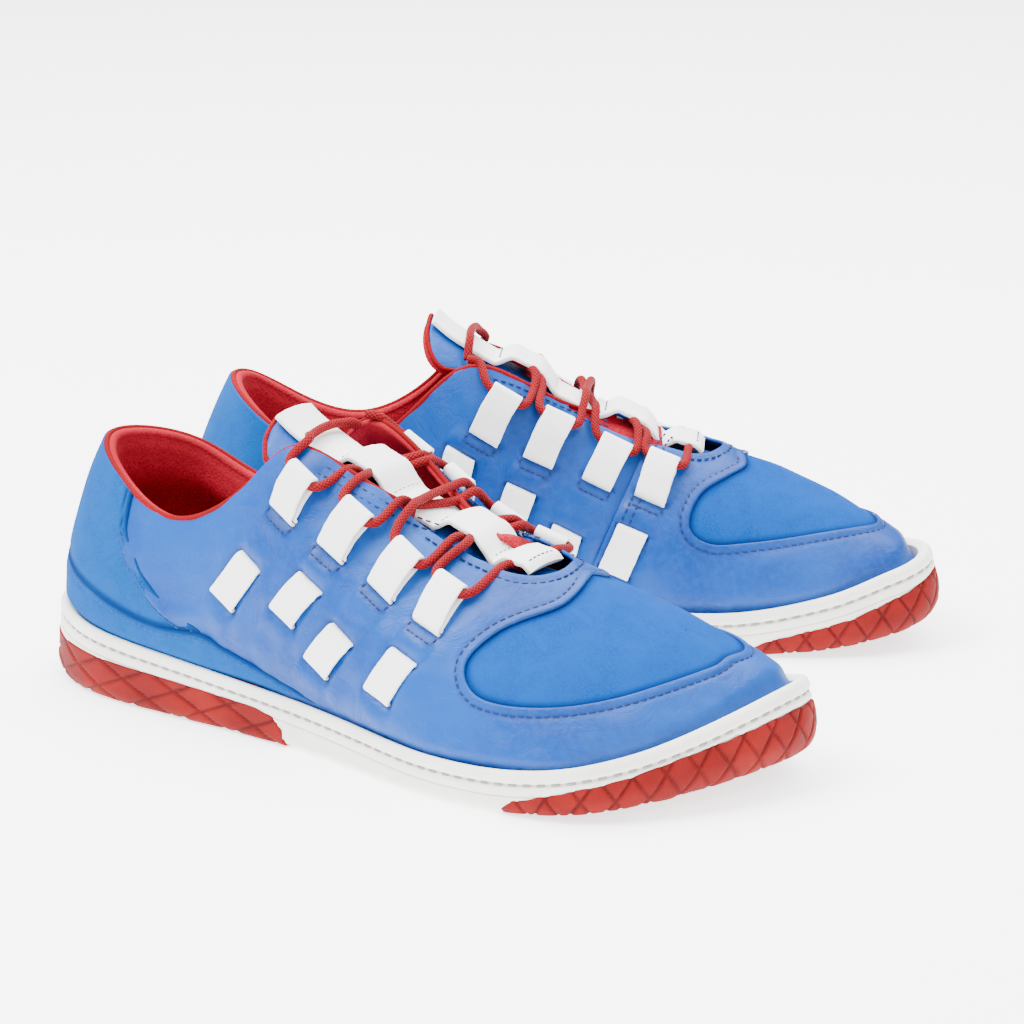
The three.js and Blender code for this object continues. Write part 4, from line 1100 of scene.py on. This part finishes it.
def threadPiece(name, side, material, rows, slot, body="_shoe"):
    points, faces = merged(rows)
    points = lifted(points, side) if body == "_tongue" else points
    return ride(makePiece(name, points, faces, side, material, smoothAngle=0), side + body, slot)


for side in sides:
    threadPiece("vamp_stitching", side, blueThread, [vampRow, throatRow], "blue_leather")
    threadPiece("heel_stitching", side, seamThread, counterRows + bandRow, "blue_suede")
    threadPiece("seam_stitching", side, blueThread, seamRows + eyestayRows, "blue_leather")
    threadPiece("slot_stitching", side, blueThread, slotRows, "blue_leather")
print("stitching made")


# ---- lining with its padded collar ----
collar = {"base": 2.2, "top": 1.6, "pad": 4.6, "end": 4.0, "reach": 6.2, "rise": 0.2}


def heelRound(s):
    return smooth(collar["end"] + 0.6 - np.abs(s), 0, 1.6)


def liningRings():
    rings = []
    for s in np.linspace(-collar["reach"], collar["reach"], 260):
        full = collar["base"] + collar["top"] * heelRound(s)
        padded = collar["pad"] * heelRound(s)
        edge, out = skinPoint(s, 1.0), skinNormal(s, 1.0)
        up = unit(partials(skinPoint, np.array(s), np.array(1.0))[1])
        radius = full / 2
        ring = []
        for v in np.linspace(0.9, 0.99, 4):
            ring.append(skinPoint(s, v) - skinNormal(s, v) * 1.3)
        centre = edge - out * (0.9 + radius) + up * (collar["rise"] - 0.4)
        for degrees in np.linspace(0, 180, 15):
            turn = math.radians(degrees)
            ring.append(centre + out * radius * math.cos(turn) + up * (0.6 + radius * 0.7) * math.sin(turn))
        vs = np.concatenate([np.linspace(0.97, 0.6, 12), np.linspace(0.55, 0.08, 12)])
        for v in vs:
            swell = 3.2 + (full + 0.9 - 3.2) * smooth(v, 0.45, 0.85) + padded * bell(v - 0.8, 0.16)
            ring.append(skinPoint(s, v) - skinNormal(s, v) * swell)
        for v in np.linspace(0.08, 0.85, 8):
            ring.append(skinPoint(s, v) - skinNormal(s, v) * 1.7)
        rings.append(ring)
    return np.array(rings)


liningPoints, liningFaces = loft(liningRings())
pipingPath = np.array([skinPoint(s, 1.0) - skinNormal(s, 1.0) * 0.7
                       + unit(partials(skinPoint, np.array(s), np.array(1.0))[1]) * 0.75
                       for s in np.linspace(-5.6, 6.1, 300)])
pipingPath = evenly(pipingPath, 380)
pipingPoints, pipingFaces = loft(tubeRings(pipingPath, 0.95, 10))
for side in sides:
    piece = makePiece("lining_cloth", liningPoints, liningFaces[:, ::-1], side, redLining, smoothAngle=0)
    ride(piece, side + "_shoe", "red_lining", side + "_lining", side + "_collar_foam")
    piece = makePiece("collar_cord", pipingPoints, pipingFaces, side, redPiping, smoothAngle=0)
    ride(piece, side + "_shoe", "red_piping", side + "_collar_piping")
print("lining made")


# ---- sole ----
sole = {"spring": 9.5, "springStart": 205, "wrapLift": 0.9, "wrapThickness": 2.4}
wallLean = [2.2, 1.8, 1.2, 0.6, 0.2, 0, 0, 0, 0.8, 2.6, 4.6, 3.6, 1.6, 0.6, 0, 0, 0, 0.4, 1.0, 1.8]
wallRound = [7, 6, 5, 4, 3.4, 3, 3, 3, 4.5, 7.5, 11, 9, 6, 4, 3, 3, 3, 3.4, 4, 5.5]


def soleEdge(s, inset):
    foot = ribAt(s)[..., 0, :]
    ahead = ribAt(s + 0.02)[..., 0, :] - ribAt(s - 0.02)[..., 0, :]
    out = np.stack([ahead[..., 1], -ahead[..., 0], np.zeros_like(ahead[..., 0])], -1)
    return foot + unit(out) * (smoothTable(soleMargins, s) - inset)[..., None]


def treadHeight(x):
    share = np.maximum(0, (x - sole["springStart"]) / (288 - sole["springStart"]))
    return sole["spring"] * share * share


def wallInset(s, z):
    # how far the wall stands in at a height: round at the foot, leaning at the top
    s, z = np.asarray(s, float), np.asarray(z, float)
    foot = treadHeight(soleEdge(s, np.zeros(s.shape))[..., 0]) + 0.5
    radius = smoothTable(wallRound, s)
    low = np.clip(1 - (z - foot) / radius, 0, 1)
    curve = radius * 0.75 * (1 - np.sqrt(np.maximum(1 - low ** 2, 0)))
    share = np.clip((z - foot) / np.maximum(smoothTable(rimHeights, s) - foot, 1), 0, 1.1)
    return curve + smoothTable(wallLean, s) * share ** 2


def cupPoint(s, inset, height, share=0.0):
    s = np.asarray(s, float)
    edge = soleEdge(s, np.full(s.shape, float(inset)))
    level = height(s, edge[:, 0])
    under = 0.9 * wrapGap(edge[:, 0], level)
    edge = soleEdge(s, inset + wallInset(s, level) + under)
    other = (ribCount - s) % ribCount
    far = soleEdge(other, inset + wallInset(other, height(other, edge[:, 0])) + under)
    point = edge + ((edge + far) / 2 - edge) * share
    return np.concatenate([point[:, :2], height(s, point[:, 0])[:, None]], 1)


heelLine = np.array([[-10, 16], [5, 15.5], [30, 14.7], [80, 12.6], [108, 11], [116, 9.4],
                     [120, 6], [122, 0], [123, -6]])
toeLine = np.array([[213, -6], [217, 1], [222, 4.5], [235, 8.4], [255, 14], [275, 22], [290, 29], [300, 33]])


def wrapGap(x, z):
    # 1 where the white wall is let in behind the red rubber
    heel = np.interp(x, heelLine[:, 0], heelLine[:, 1])
    over = np.maximum(heel, np.interp(x, toeLine[:, 0], toeLine[:, 1]))
    return smooth(over - z, -0.9, 0.3)


def rim(drop):
    return lambda s, x: smoothTable(rimHeights, s) - drop


def tread(lift):
    return lambda s, x: treadHeight(x) + lift


cupCount = 560
cupColumns = np.linspace(0, ribCount, cupCount, endpoint=False)
cupRows = [cupPoint(cupColumns, 1.4, tread(0.8), share) for share in (1, 0.75, 0.5, 0.25)]
footBend = ((1.4, 0.8), (0.5, 1.1), (0.1, 2.0), (0, 3.2))
cupRows += [cupPoint(cupColumns, inset, tread(lift)) for inset, lift in footBend]
wallTop = [(0.0, 12.6), (0.0, 10.6), (0.0, 9.4), (0.15, 8.9), (0.55, 8.6), (0.15, 8.3), (0.0, 7.8), (-0.15, 6.6),
           (-0.1, 5.9), (0.25, 5.5), (0.75, 5.2), (0.95, 4.8), (0.75, 4.4), (0.2, 4.1), (-0.2, 3.7), (-0.5, 2.8),
           (-0.5, 1.7), (-0.25, 0.8), (0.3, 0.2), (1.0, 0.0), (1.9, 0.25), (3.2, 0.9), (4.6, 2.0), (4.8, 4.5)]
for inset, drop in wallTop:
    cupRows.append(cupPoint(cupColumns, inset, lambda s, x, d=drop: np.maximum(
        smoothTable(rimHeights, s) - d, treadHeight(x) + 3.2 + 0.04 * (13 - d))))
floorShares = (0, 0.25, 0.5, 0.75, 1)
cupRows += [cupPoint(cupColumns, 4.8, tread(8), share) for share in floorShares]
cupGrid = np.array(cupRows).transpose(1, 0, 2)
cupPoints, cupFaces = loft(np.concatenate([cupGrid, cupGrid[:1]]), capped=False, loop=False)
cupFirst, cupOwner = np.unique(np.round(cupPoints, 2), axis=0, return_index=True, return_inverse=True)[1:]
cupFaces = cupOwner.ravel()[cupFaces]
cupFaces = cupFaces[(cupFaces != np.roll(cupFaces, 1, 1)).all(1)]
cupPoints = cupPoints[cupFirst]
cupRow = np.tile(np.arange(cupGrid.shape[1]), len(cupGrid) + 1)[cupFirst]
grooveRow = len(cupRows) - len(floorShares) - len(wallTop) + 11
# painted shade in the two grooves round the cup sole wall
cupShade = {"seam": 0.8 * bell(cupRow - grooveRow, 1.0) + 0.6 * bell(cupRow - (grooveRow - 7), 0.7)}
grooveLine = cupPoint(cupColumns, 0.8, rim(4.8))
grooveOut = unit(soleEdge(cupColumns, np.zeros(cupCount)) - soleEdge(cupColumns, np.full(cupCount, 3.0)))
grooveLine = np.concatenate([grooveLine, grooveLine[:1]])
grooveOut = np.concatenate([grooveOut, grooveOut[:1]])
grooveRows = [stitchRow(grooveLine, grooveOut, 5.0, 3.1, 0.55, 0.8, 0.3)]

edgeRun = np.linspace(0, ribCount, 2001)
edgeLine = soleEdge(edgeRun, np.zeros(2001))
edgeLength = np.concatenate([[0], np.cumsum(np.linalg.norm(np.diff(edgeLine, axis=0), axis=1))])


def roundAt(s):
    # how far round the sole a station lies, from the heel
    return np.interp(np.asarray(s) % ribCount, edgeRun, edgeLength)


def wallPoint(s, t):
    # t runs up the wall from the tread edge, and is negative underneath
    s, t = np.asarray(s, float), np.asarray(t, float)
    foot = treadHeight(soleEdge(s, np.zeros(s.shape))[..., 0]) + 1.0
    height = foot + np.maximum(t, 0)
    inset = wallInset(s, height) - np.minimum(t, 0)
    return np.concatenate([soleEdge(s, inset + 0.6)[..., :2], height[..., None]], -1)


def wrapField(line, wave):
    def field(places):
        point = wallPoint(places[:, 0], places[:, 1])
        edge = np.interp(point[:, 0], line[:, 0], line[:, 1])
        slope = np.abs(np.gradient(line[:, 1], line[:, 0]))
        steep = np.interp(point[:, 0], line[:, 0], slope)
        ripple = wave * np.abs(np.sin(roundAt(places[:, 0]) * math.pi / 11.5))
        return (edge + ripple - point[:, 2]) / np.sqrt(1 + steep ** 2)
    return field


def wrapGrooves(pitch, lean, depth):
    def relief(places, points):
        run = roundAt(places[:, 0])
        run = np.where(run > edgeLength[-1] / 2, run - edgeLength[-1], run) if pitch > 16 else run
        cut = np.zeros(len(places))
        for way in (1, -1):
            phase = (run + way * lean * points[:, 2]) / pitch
            gap = np.abs(phase - np.round(phase)) * pitch / math.hypot(1, lean)
            cut = np.maximum(cut, bell(gap, 0.55))
        return -depth * cut * smooth(places[:, 1], -4, 0) + 0.1 * waves(points, 9, 21)
    return relief


heelStations = np.linspace(-5.2, 5.2, 470)
toeStations = np.linspace(7.2, 13.2, 470)
heelGrooves, toeGrooves = wrapGrooves(24, 2.4, 0.6), wrapGrooves(11.5, 0.75, 0.6)
wrapEdge = ((0.3, -0.1), (0.5, -0.45), (0.5, -1.2))
heelWrap = shellOf(wallPoint, heelStations, np.linspace(-7, 22, 44), wrapField(heelLine, 0.0),
                   sole["wrapLift"], sole["wrapThickness"], wrapEdge, heelGrooves)
toeWrap = shellOf(wallPoint, toeStations, np.linspace(-7, 20, 42), wrapField(toeLine, 0.5),
                  sole["wrapLift"], sole["wrapThickness"], wrapEdge, toeGrooves)


def grooveShade(made, relief, depth):
    # painted shade: the wrap is darker in proportion to the depth of its grooves
    places = made[2]
    cut = -relief(places, wallPoint(places[:, 0], places[:, 1])) / depth
    return {"seam": np.clip(cut, 0, 1)}


heelShade, toeShade = grooveShade(heelWrap, heelGrooves, 0.6), grooveShade(toeWrap, toeGrooves, 0.6)


def treadPoint(s, q):
    s, q = np.asarray(s, float), np.asarray(q, float)
    edge = soleEdge(s, smoothTable(wallRound, s) * 0.75 + 2.0)
    other = (ribCount - s) % ribCount
    far = soleEdge(other, smoothTable(wallRound, other) * 0.75 + 2.0)
    point = edge + ((edge + far) / 2 - edge) * q[..., None]
    return np.concatenate([point[..., :2], (treadHeight(point[..., 0]) + 0.75)[..., None]], -1)


def zigzag(x, y):
    phase = (x + 3.5 * np.abs((y / 14) % 2 - 1) * 2) / 7.5
    return smooth(np.abs(phase % 1 - 0.5), 0.1, 0.16)


print("sole shells made")
for side in sides:
    body = side + "_shoe"
    ride(makePiece("cup_sole", cupPoints, cupFaces, side, whiteRubber, cupShade, 50), body, "white_rubber",
         side + "_cupsole")
    threadPiece("sole_stitching", side, greyThread, grooveRows, "white_rubber")
    for word, wrap, shade in (("heel", heelWrap, heelShade), ("toe", toeWrap, toeShade)):
        ride(pieceFromShell(word + "_wrap", side, redRubber, wrap, shade), body, "red_rubber",
             side + "_" + word + "_outsole")
print("sole made")

# ---- tongue ----
tongueRows = np.array([
    (202, 62.5, 10.8, 1.6), (190, 64.6, 11.2, 1.8), (176, 69.6, 11.4, 2), (160, 76.6, 11.4, 2),
    (144, 83.4, 11.6, 2), (130, 89.4, 12.2, 2.2), (119, 94.4, 13.4, 3), (110, 99.2, 17, 6),
    (103, 103.4, 19.5, 8.5), (99, 106.4, 17.5, 7.5), (96.8, 108.4, 13, 5)], float)
tongueLine = tongueRows[::-1, :2]


def tongueHeight(x):
    return np.interp(x, tongueLine[:, 0], tongueLine[:, 1])


tonguePath = pathThrough(tongueRows, 110)
tongueWay = unit(np.gradient(tonguePath[:, :2], axis=0))
tongueUp = np.stack([-tongueWay[:, 1], np.zeros(110), tongueWay[:, 0]], 1) * -1
tongueUp *= np.sign(tongueUp[:, 2:])


def tongueAt(k, across, height):
    x, z, half, hang = tonguePath[k]
    return np.array([x, across * half, z - hang * across * across]) + tongueUp[k] * height


def tongueRings(low, high, puff, narrow):
    # rounded cross sections; the last few close the top end
    count = len(tonguePath)
    rings = []
    for k in range(count):
        fromTop = pathLength(tonguePath[k:, :2]) if k > count - 14 else 99
        close = math.sqrt(max(1 - (1 - min(fromTop / 4.5, 1)) ** 2, 0.0004))
        ring = []
        for degrees in np.arange(0, 360, 9):
            turn = math.radians(degrees + 4.5)
            c, up = math.cos(turn), math.sin(turn)
            across = math.copysign(abs(c) ** 0.55, c) * narrow
            level = math.copysign(abs(up) ** 0.75, up)
            height = (high + low) / 2 + level * (high - low) / 2 * close
            height += puff * (1 - across ** 4) * close if up > 0 else 0
            ring.append(tongueAt(k, across * (0.75 + 0.25 * close), height))
        rings.append(ring)
    return np.array(rings)


tongueLeatherMade = loft(tongueRings(-2.0, 0.1, 0.35, 0.995)[::-1])
tongueClothMade = loft(tongueRings(-6.2, -1.6, 0.0, 0.965)[::-1])
cordPath = [tongueAt(k, 1.01, -1.3) for k in range(8, 110)]
cordPath += [tongueAt(109, a, -1.3) - [0.4, 0, -0.5] for a in np.linspace(0.9, -0.9, 9)]
cordPath += [tongueAt(k, -1.01, -1.3) for k in range(109, 7, -1)]
cordPath = pathThrough(np.array(cordPath)[::3], 420)
tongueCordMade = loft(tubeRings(cordPath, 0.85, 10))


def flipped(faces):
    return np.asarray(faces)[:, ::-1]


# ---- strap down the tongue ----
tongueStrap = {"width": 20, "thickness": 1.7, "seat": 0.6}
strapTunnels = [(132.5, 5.9, 11.5), (172.5, 5.9, 11.5), (193, 4.4, 8.5)]


def strapLift(x):
    lift = np.full(np.shape(x), tongueStrap["seat"])
    for middle, rise, half in strapTunnels:
        lift = lift + rise * (1 - smooth(np.abs(x - middle), half * 0.35, half * 1.1))
    return lift


strapX = np.linspace(97.5, 199, 230)
strapZ = tongueHeight(strapX)
strapZ = np.convolve(np.pad(strapZ, 6, mode="reflect", reflect_type="odd"), np.ones(13) / 13, "valid")
strapPath = np.stack([strapX, np.zeros(230), strapZ + strapLift(strapX) + tongueStrap["thickness"] / 2], 1)


def tongueStrapRings():
    level = np.tile([0, 1.0, 0], (len(strapPath), 1))
    rings = bandRings(strapPath, level, tongueStrap["width"], tongueStrap["thickness"], 0.45)
    # the sides droop a little, and the cut edges wander
    y = rings[:, :, 1]
    wander = 1 + 0.012 * waves(strapPath, 9, 31) + 0.006 * waves(strapPath, 3, 32)
    rings[:, :, 2] -= 1.1 * (np.abs(y) / 10) ** 2.2
    rings[:, :, 1] *= wander[:, None]
    return rings


tongueStrapMade = loft(tongueStrapRings())
crossRows = []
for x in (122.5, 143.5, 162.5, 183.5, 197):
    z = np.interp(x, strapPath[:, 0], strapPath[:, 2]) + tongueStrap["thickness"] / 2
    y = np.linspace(-7.4, 7.4, 30)
    line = np.stack([np.full(30, x), y, z - 1.1 * (np.abs(y) / 10) ** 2.2 + 0.02], 1)
    crossRows.append(pointStitches(line, 0, pitch=2.3, length=1.8, radius=0.36))
for side in sides:
    body = side + "_tongue"
    piece = makePiece("tongue_leather_face", lifted(tongueLeatherMade[0], side), flipped(tongueLeatherMade[1]),
                      side, blueLeather, {"seam": np.zeros(len(tongueLeatherMade[0]))}, smoothAngle=0)
    ride(piece, body, "blue_leather", side + "_tongue_leather", side + "_tongue_foam")
    piece = makePiece("tongue_cloth", lifted(tongueClothMade[0], side), flipped(tongueClothMade[1]),
                      side, redLining, smoothAngle=0)
    ride(piece, body, "red_lining", side + "_tongue_lining")
    piece = makePiece("tongue_cord", lifted(tongueCordMade[0], side), tongueCordMade[1],
                      side, redPiping, smoothAngle=0)
    ride(piece, body, "red_piping")
    piece = makePiece("tongue_centre_strap", lifted(tongueStrapMade[0], side), tongueStrapMade[1],
                      side, whiteLeather, {"seam": np.zeros(len(tongueStrapMade[0]))}, smoothAngle=50)
    ride(piece, body, "white_leather", side + "_tongue_strap")
    threadPiece("strap_stitching", side, blueThread, crossRows, "white_leather", "_tongue")
print("tongue made")


# ---- the eight lace straps ----
def strapRoute(track):
    against, fold = strap["against"], strap["foldReach"]
    spots = []

    def add(leg, share, shift, lift):
        spot = strapSpot(track, leg, share, shift, lift)
        spots.append(np.concatenate([spot[0], spot[3]]))
    add(1, 0, -1.2, -3.0)
    add(1, 0, -1.0, 0.2)
    add(0, 0.6, 0, against)
    for degrees in (-90, -120, -150, -180, -210, -240, -270):
        turn = math.radians(degrees)
        add(0, strap["lower"], fold * math.cos(turn), strap["laceRise"] + fold * math.sin(turn))
    add(0, 0.55, 0, strap["laceRise"] + fold - 0.9)
    add(0, 0.88, 0, 2.5)
    add(1, 0, 0.5, 1.3)
    add(1, 0, 0.9, -3.0)
    return np.array(spots)


def windowRoute(track):
    spots = []
    for leg, share, shift, lift in ((2, 0, -0.6, -2.6), (2, 0, -0.2, 0.0), (2, 0.12, 0, strap["window"] + 0.15),
                                    (2, 0.5, 0, strap["window"] + 0.35), (2, 0.88, 0, strap["window"] + 0.15),
                                    (3, 0, 0.2, 0.0), (3, 0, 0.6, -2.6)):
        spot = strapSpot(track, leg, share, shift, lift)
        spots.append(np.concatenate([spot[0], spot[3]]))
    return np.array(spots)


def strapMesh(route, seed):
    path = pathThrough(route, 56)
    rings = bandRings(path[:, :3], path[:, 3:], strap["width"], strap["thickness"], 0.32)
    centre = rings.mean(1, keepdims=True)
    wander = 1 + 0.01 * waves(path[:, :3], 7, seed) + 0.008 * waves(path[:, :3], 2.6, seed + 1)
    return loft(centre + (rings - centre) * wander[:, None, None])


for number, (name, track) in enumerate(strapTracks.items()):
    loopMade = strapMesh(strapRoute(track), 40 + number)
    points, faces = merged([loopMade, strapMesh(windowRoute(track), 60 + number)])
    for side in sides:
        piece = makePiece("strap_" + name, points, faces, side, whiteLeather,
                          {"seam": np.zeros(len(points))}, 50)
        ride(piece, side + "_shoe", "white_leather", side + "_lace_strap_" + name)
print("lace straps made")

# ---- laces ----
lace = {"diameter": 3.1, "loopEnd": 1.2, "low": 1.9, "high": 4.7, "over": 4.0, "top": 7.0}
low, high, over, top = [lace[word] for word in ("low", "high", "over", "top")]
laceRoute = [
    (112.5, 15.5, 1.4), (111.5, 11, 4.6), (111, 0, 5.4), (112.5, -12, 5), (117, -19, 6.4),
    ("outer_1", -1), ("outer_1", 1), (131.5, -14, 5), (132, -5, low), (133.5, 5, low), (140, 15, 5.5),
    ("inner_2", -1), ("inner_2", 1), (155.5, 16, 6.5), (155, 8, top), (155.5, -8, top), (156.5, -15, 6.5),
    ("outer_3", -1), ("outer_3", 1), (172.5, -14, 4.5), (172, -5, low), (174, 5, low), (179, 15, 5),
    ("inner_4", -1), ("inner_4", 1), (194, 12, 4), (194, 5, low), (193.5, -5, low), (191, -12, 4),
    ("outer_4", 1), ("outer_4", -1), (177, -14, 5), (173.5, -5, high), (171.5, 5, high), (175.5, 15, 5.5),
    ("inner_3", 1), ("inner_3", -1), (160, 16, 5.8), (158, 8, over), (153.5, -8, over), (152, -15, 5.8),
    ("outer_2", 1), ("outer_2", -1), (137, -14, 6), (133.5, -5, high), (132.5, 5, high), (137.5, 15, 6),
    ("inner_1", 1), ("inner_1", -1), (118, 20, 6.4), (113.5, 19, 4.4)]


def lacePoint(station):
    if isinstance(station[0], str):
        name, end = station
        spot = strapSpot(strapTracks[name], 0, strap["lower"], 0, strap["laceRise"])
        point, across = spot[0], spot[3]
        return point + across * end * np.sign(across[0]) * (strap["width"] / 2 + lace["loopEnd"])
    x, y, height = station
    return np.array([x, y, tongueHeight(x) + height])


laceCorners = np.array([lacePoint(station) for station in laceRoute])
lacePath = pathThrough(laceCorners, 760)
for turn in range(6):
    lacePath[1:-1] = lacePath[1:-1] * 0.5 + (lacePath[:-2] + lacePath[2:]) * 0.25
laceRun = np.concatenate([[0], np.cumsum(np.linalg.norm(np.diff(lacePath, axis=0), axis=1))])
print("lace length mm", round(float(laceRun[-1]), 1))


def laceHalf(sign):
    # the runs on one side of the middle line, each closed at the middle
    points, faces, uvs, start = [], [], [], 0
    on = lacePath[:, 1] * sign > 0
    edges = np.flatnonzero(np.diff(np.concatenate([[0], on.astype(int), [0]])))
    for low, high in zip(edges[::2], edges[1::2]):
        low, high = max(low - 1, 0), min(high + 1, len(lacePath))
        if high - low < 4:
            continue
        path, run = lacePath[low:high], laceRun[low:high]
        rings = tubeRings(path, lace["diameter"] / 2, 14)
        some, tris = loft(rings)
        around = np.concatenate([np.tile(np.arange(14) / 14, len(path)), [0, 0]])
        length = np.concatenate([np.repeat(run, 14), [run[0], run[-1]]]) / lace["diameter"]
        corner = np.stack([around[tris], length[tris]], -1)
        wraps = (corner[:, :, 0].max(1) - corner[:, :, 0].min(1)) > 0.5
        turned = corner[wraps, :, 0]
        corner[wraps, :, 0] = np.where(turned < 0.5, turned + 1, turned)
        points.append(some)
        faces.append(tris + start)
        uvs.append(corner)
        start += len(some)
    return np.concatenate(points), np.concatenate(faces), np.concatenate(uvs)


for side in sides:
    for word, sign in (("outer", -1), ("inner", 1)):
        points, faces, uv = laceHalf(sign)
        points = lifted(points, side, 1 - smooth(np.abs(points[:, 1]), 9, 20))
        piece = makePiece("lace_" + word, points, faces, side, redLace, smoothAngle=0, uv=uv)
        start, end = placed(np.array([(150, sign * 17, 85), (150, sign * 8, 85)]), side)
        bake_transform(piece)
        if word == "outer":
            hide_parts(side + "_lace")
print("laces made")


# ---- footbed and tread ----
def bedPoint(s, q):
    s, q = np.asarray(s, float), np.asarray(q, float)
    low = np.full(s.shape, 0.1)
    edge = skinPoint(s, low) - skinNormal(s, low) * 4.6
    other = (ribCount - s) % ribCount
    far = skinPoint(other, low) - skinNormal(other, low) * 4.6
    point = edge + ((edge + far) / 2 - edge) * q[..., None]
    height = ribAt(s)[..., 0, 2] + 6.4 + 2.4 * (1 - q) ** 3
    middle = (height + ribAt(other)[..., 0, 2] + 6.4) / 2 - 1.2 * q
    return np.concatenate([point[..., :2], (height + (middle - height) * q)[..., None]], -1)


bedShell = shellOf(bedPoint, np.linspace(0, ribCount, 240, endpoint=False), np.linspace(0, 1, 20), None, 0, 4.0,
                   ((0.3, -0.4), (0.4, -1.2)), lambda places, points: 0.15 * waves(points, 30, 71), loop=True)
treads = [("heel_tread", redRubber, "red_rubber", -20, 112, zigzag),
          ("middle_tread", whiteRubber, "white_rubber", 113, 221, lambda x, y: zigzag(x * 0.8, y)),
          ("toe_tread", redRubber, "red_rubber", 222, 320, zigzag)]


def treadMade(back, front, pattern):
    def field(places):
        x = treadPoint(places[:, 0], places[:, 1])[:, 0]
        return np.minimum(x - back, front - x)

    def relief(_, points):
        return 0.75 * pattern(points[:, 0], points[:, 1] + 200)
    # the columns run backwards, so that the sheet faces down
    around = np.linspace(0, ribCount, 400, endpoint=False)[::-1]
    return shellOf(treadPoint, around, np.linspace(0, 1, 34), field, -0.1, 0.9,
                   ((0.1, -0.3),), relief, loop=True)


for side in sides:
    body = side + "_shoe"
    ride(pieceFromShell("foot_bed", side, redLining, bedShell), body, "red_footbed",
         side + "_footbed", side + "_insole_board")
    for name, material, slot, back, front, pattern in treads:
        ride(pieceFromShell(name, side, material, treadMade(back, front, pattern)), body, slot)
print("footbed and tread made")

# ---- floor and lights ----
floor = {"half": 6.0, "dark": (0.9, 0.9, 0.895), "light": (0.93, 0.93, 0.925), "glow": 2.2, "sky": 0.7}
bpy.ops.mesh.primitive_plane_add(size=floor["half"] * 2, location=(0, 0, 0))
ground = bpy.context.object
ground.name = "floor"
floorMaterial, floorWire, floorShader = newMaterial("floor_paper")
floorPlace = floorWire.node("ShaderNodeTexCoord", output=3)
floorTone = floorWire.noise(floorPlace, 3, 2)
finishShader(floorWire, floorShader, {
    "Base Color": floorTone.blend(colour(*floor["dark"]), colour(*floor["light"])), "Roughness": 0.55,
    "Specular IOR Level": 0.2, "Emission Color": colour(1, 1, 1), "Emission Strength": floor["glow"]})
ground.data.materials.append(floorMaterial)

lamps = {
    "key": {"place": (-0.8, -0.6, 1.5), "size": 0.9, "power": 62},
    "fill": {"place": (1.2, -1.3, 1.0), "size": 1.4, "power": 20},
    "top": {"place": (0.0, 0.5, 2.0), "size": 2.6, "power": 215},
}
for name, lamp in lamps.items():
    bpy.ops.object.light_add(type="AREA", location=lamp["place"])
    made = bpy.context.object
    made.name = name + "_light"
    made.data.size = lamp["size"]
    made.data.energy = lamp["power"]
    made.rotation_euler = (Vector((0, 0, 0.03)) - made.location).to_track_quat("-Z", "Y").to_euler()
world = bpy.data.worlds.new("studio")
scene.world = world
world.use_nodes = True
world.node_tree.nodes["Background"].inputs["Color"].default_value = (1, 1, 1, 1)
world.node_tree.nodes["Background"].inputs["Strength"].default_value = floor["sky"]
print("floor and lights set")
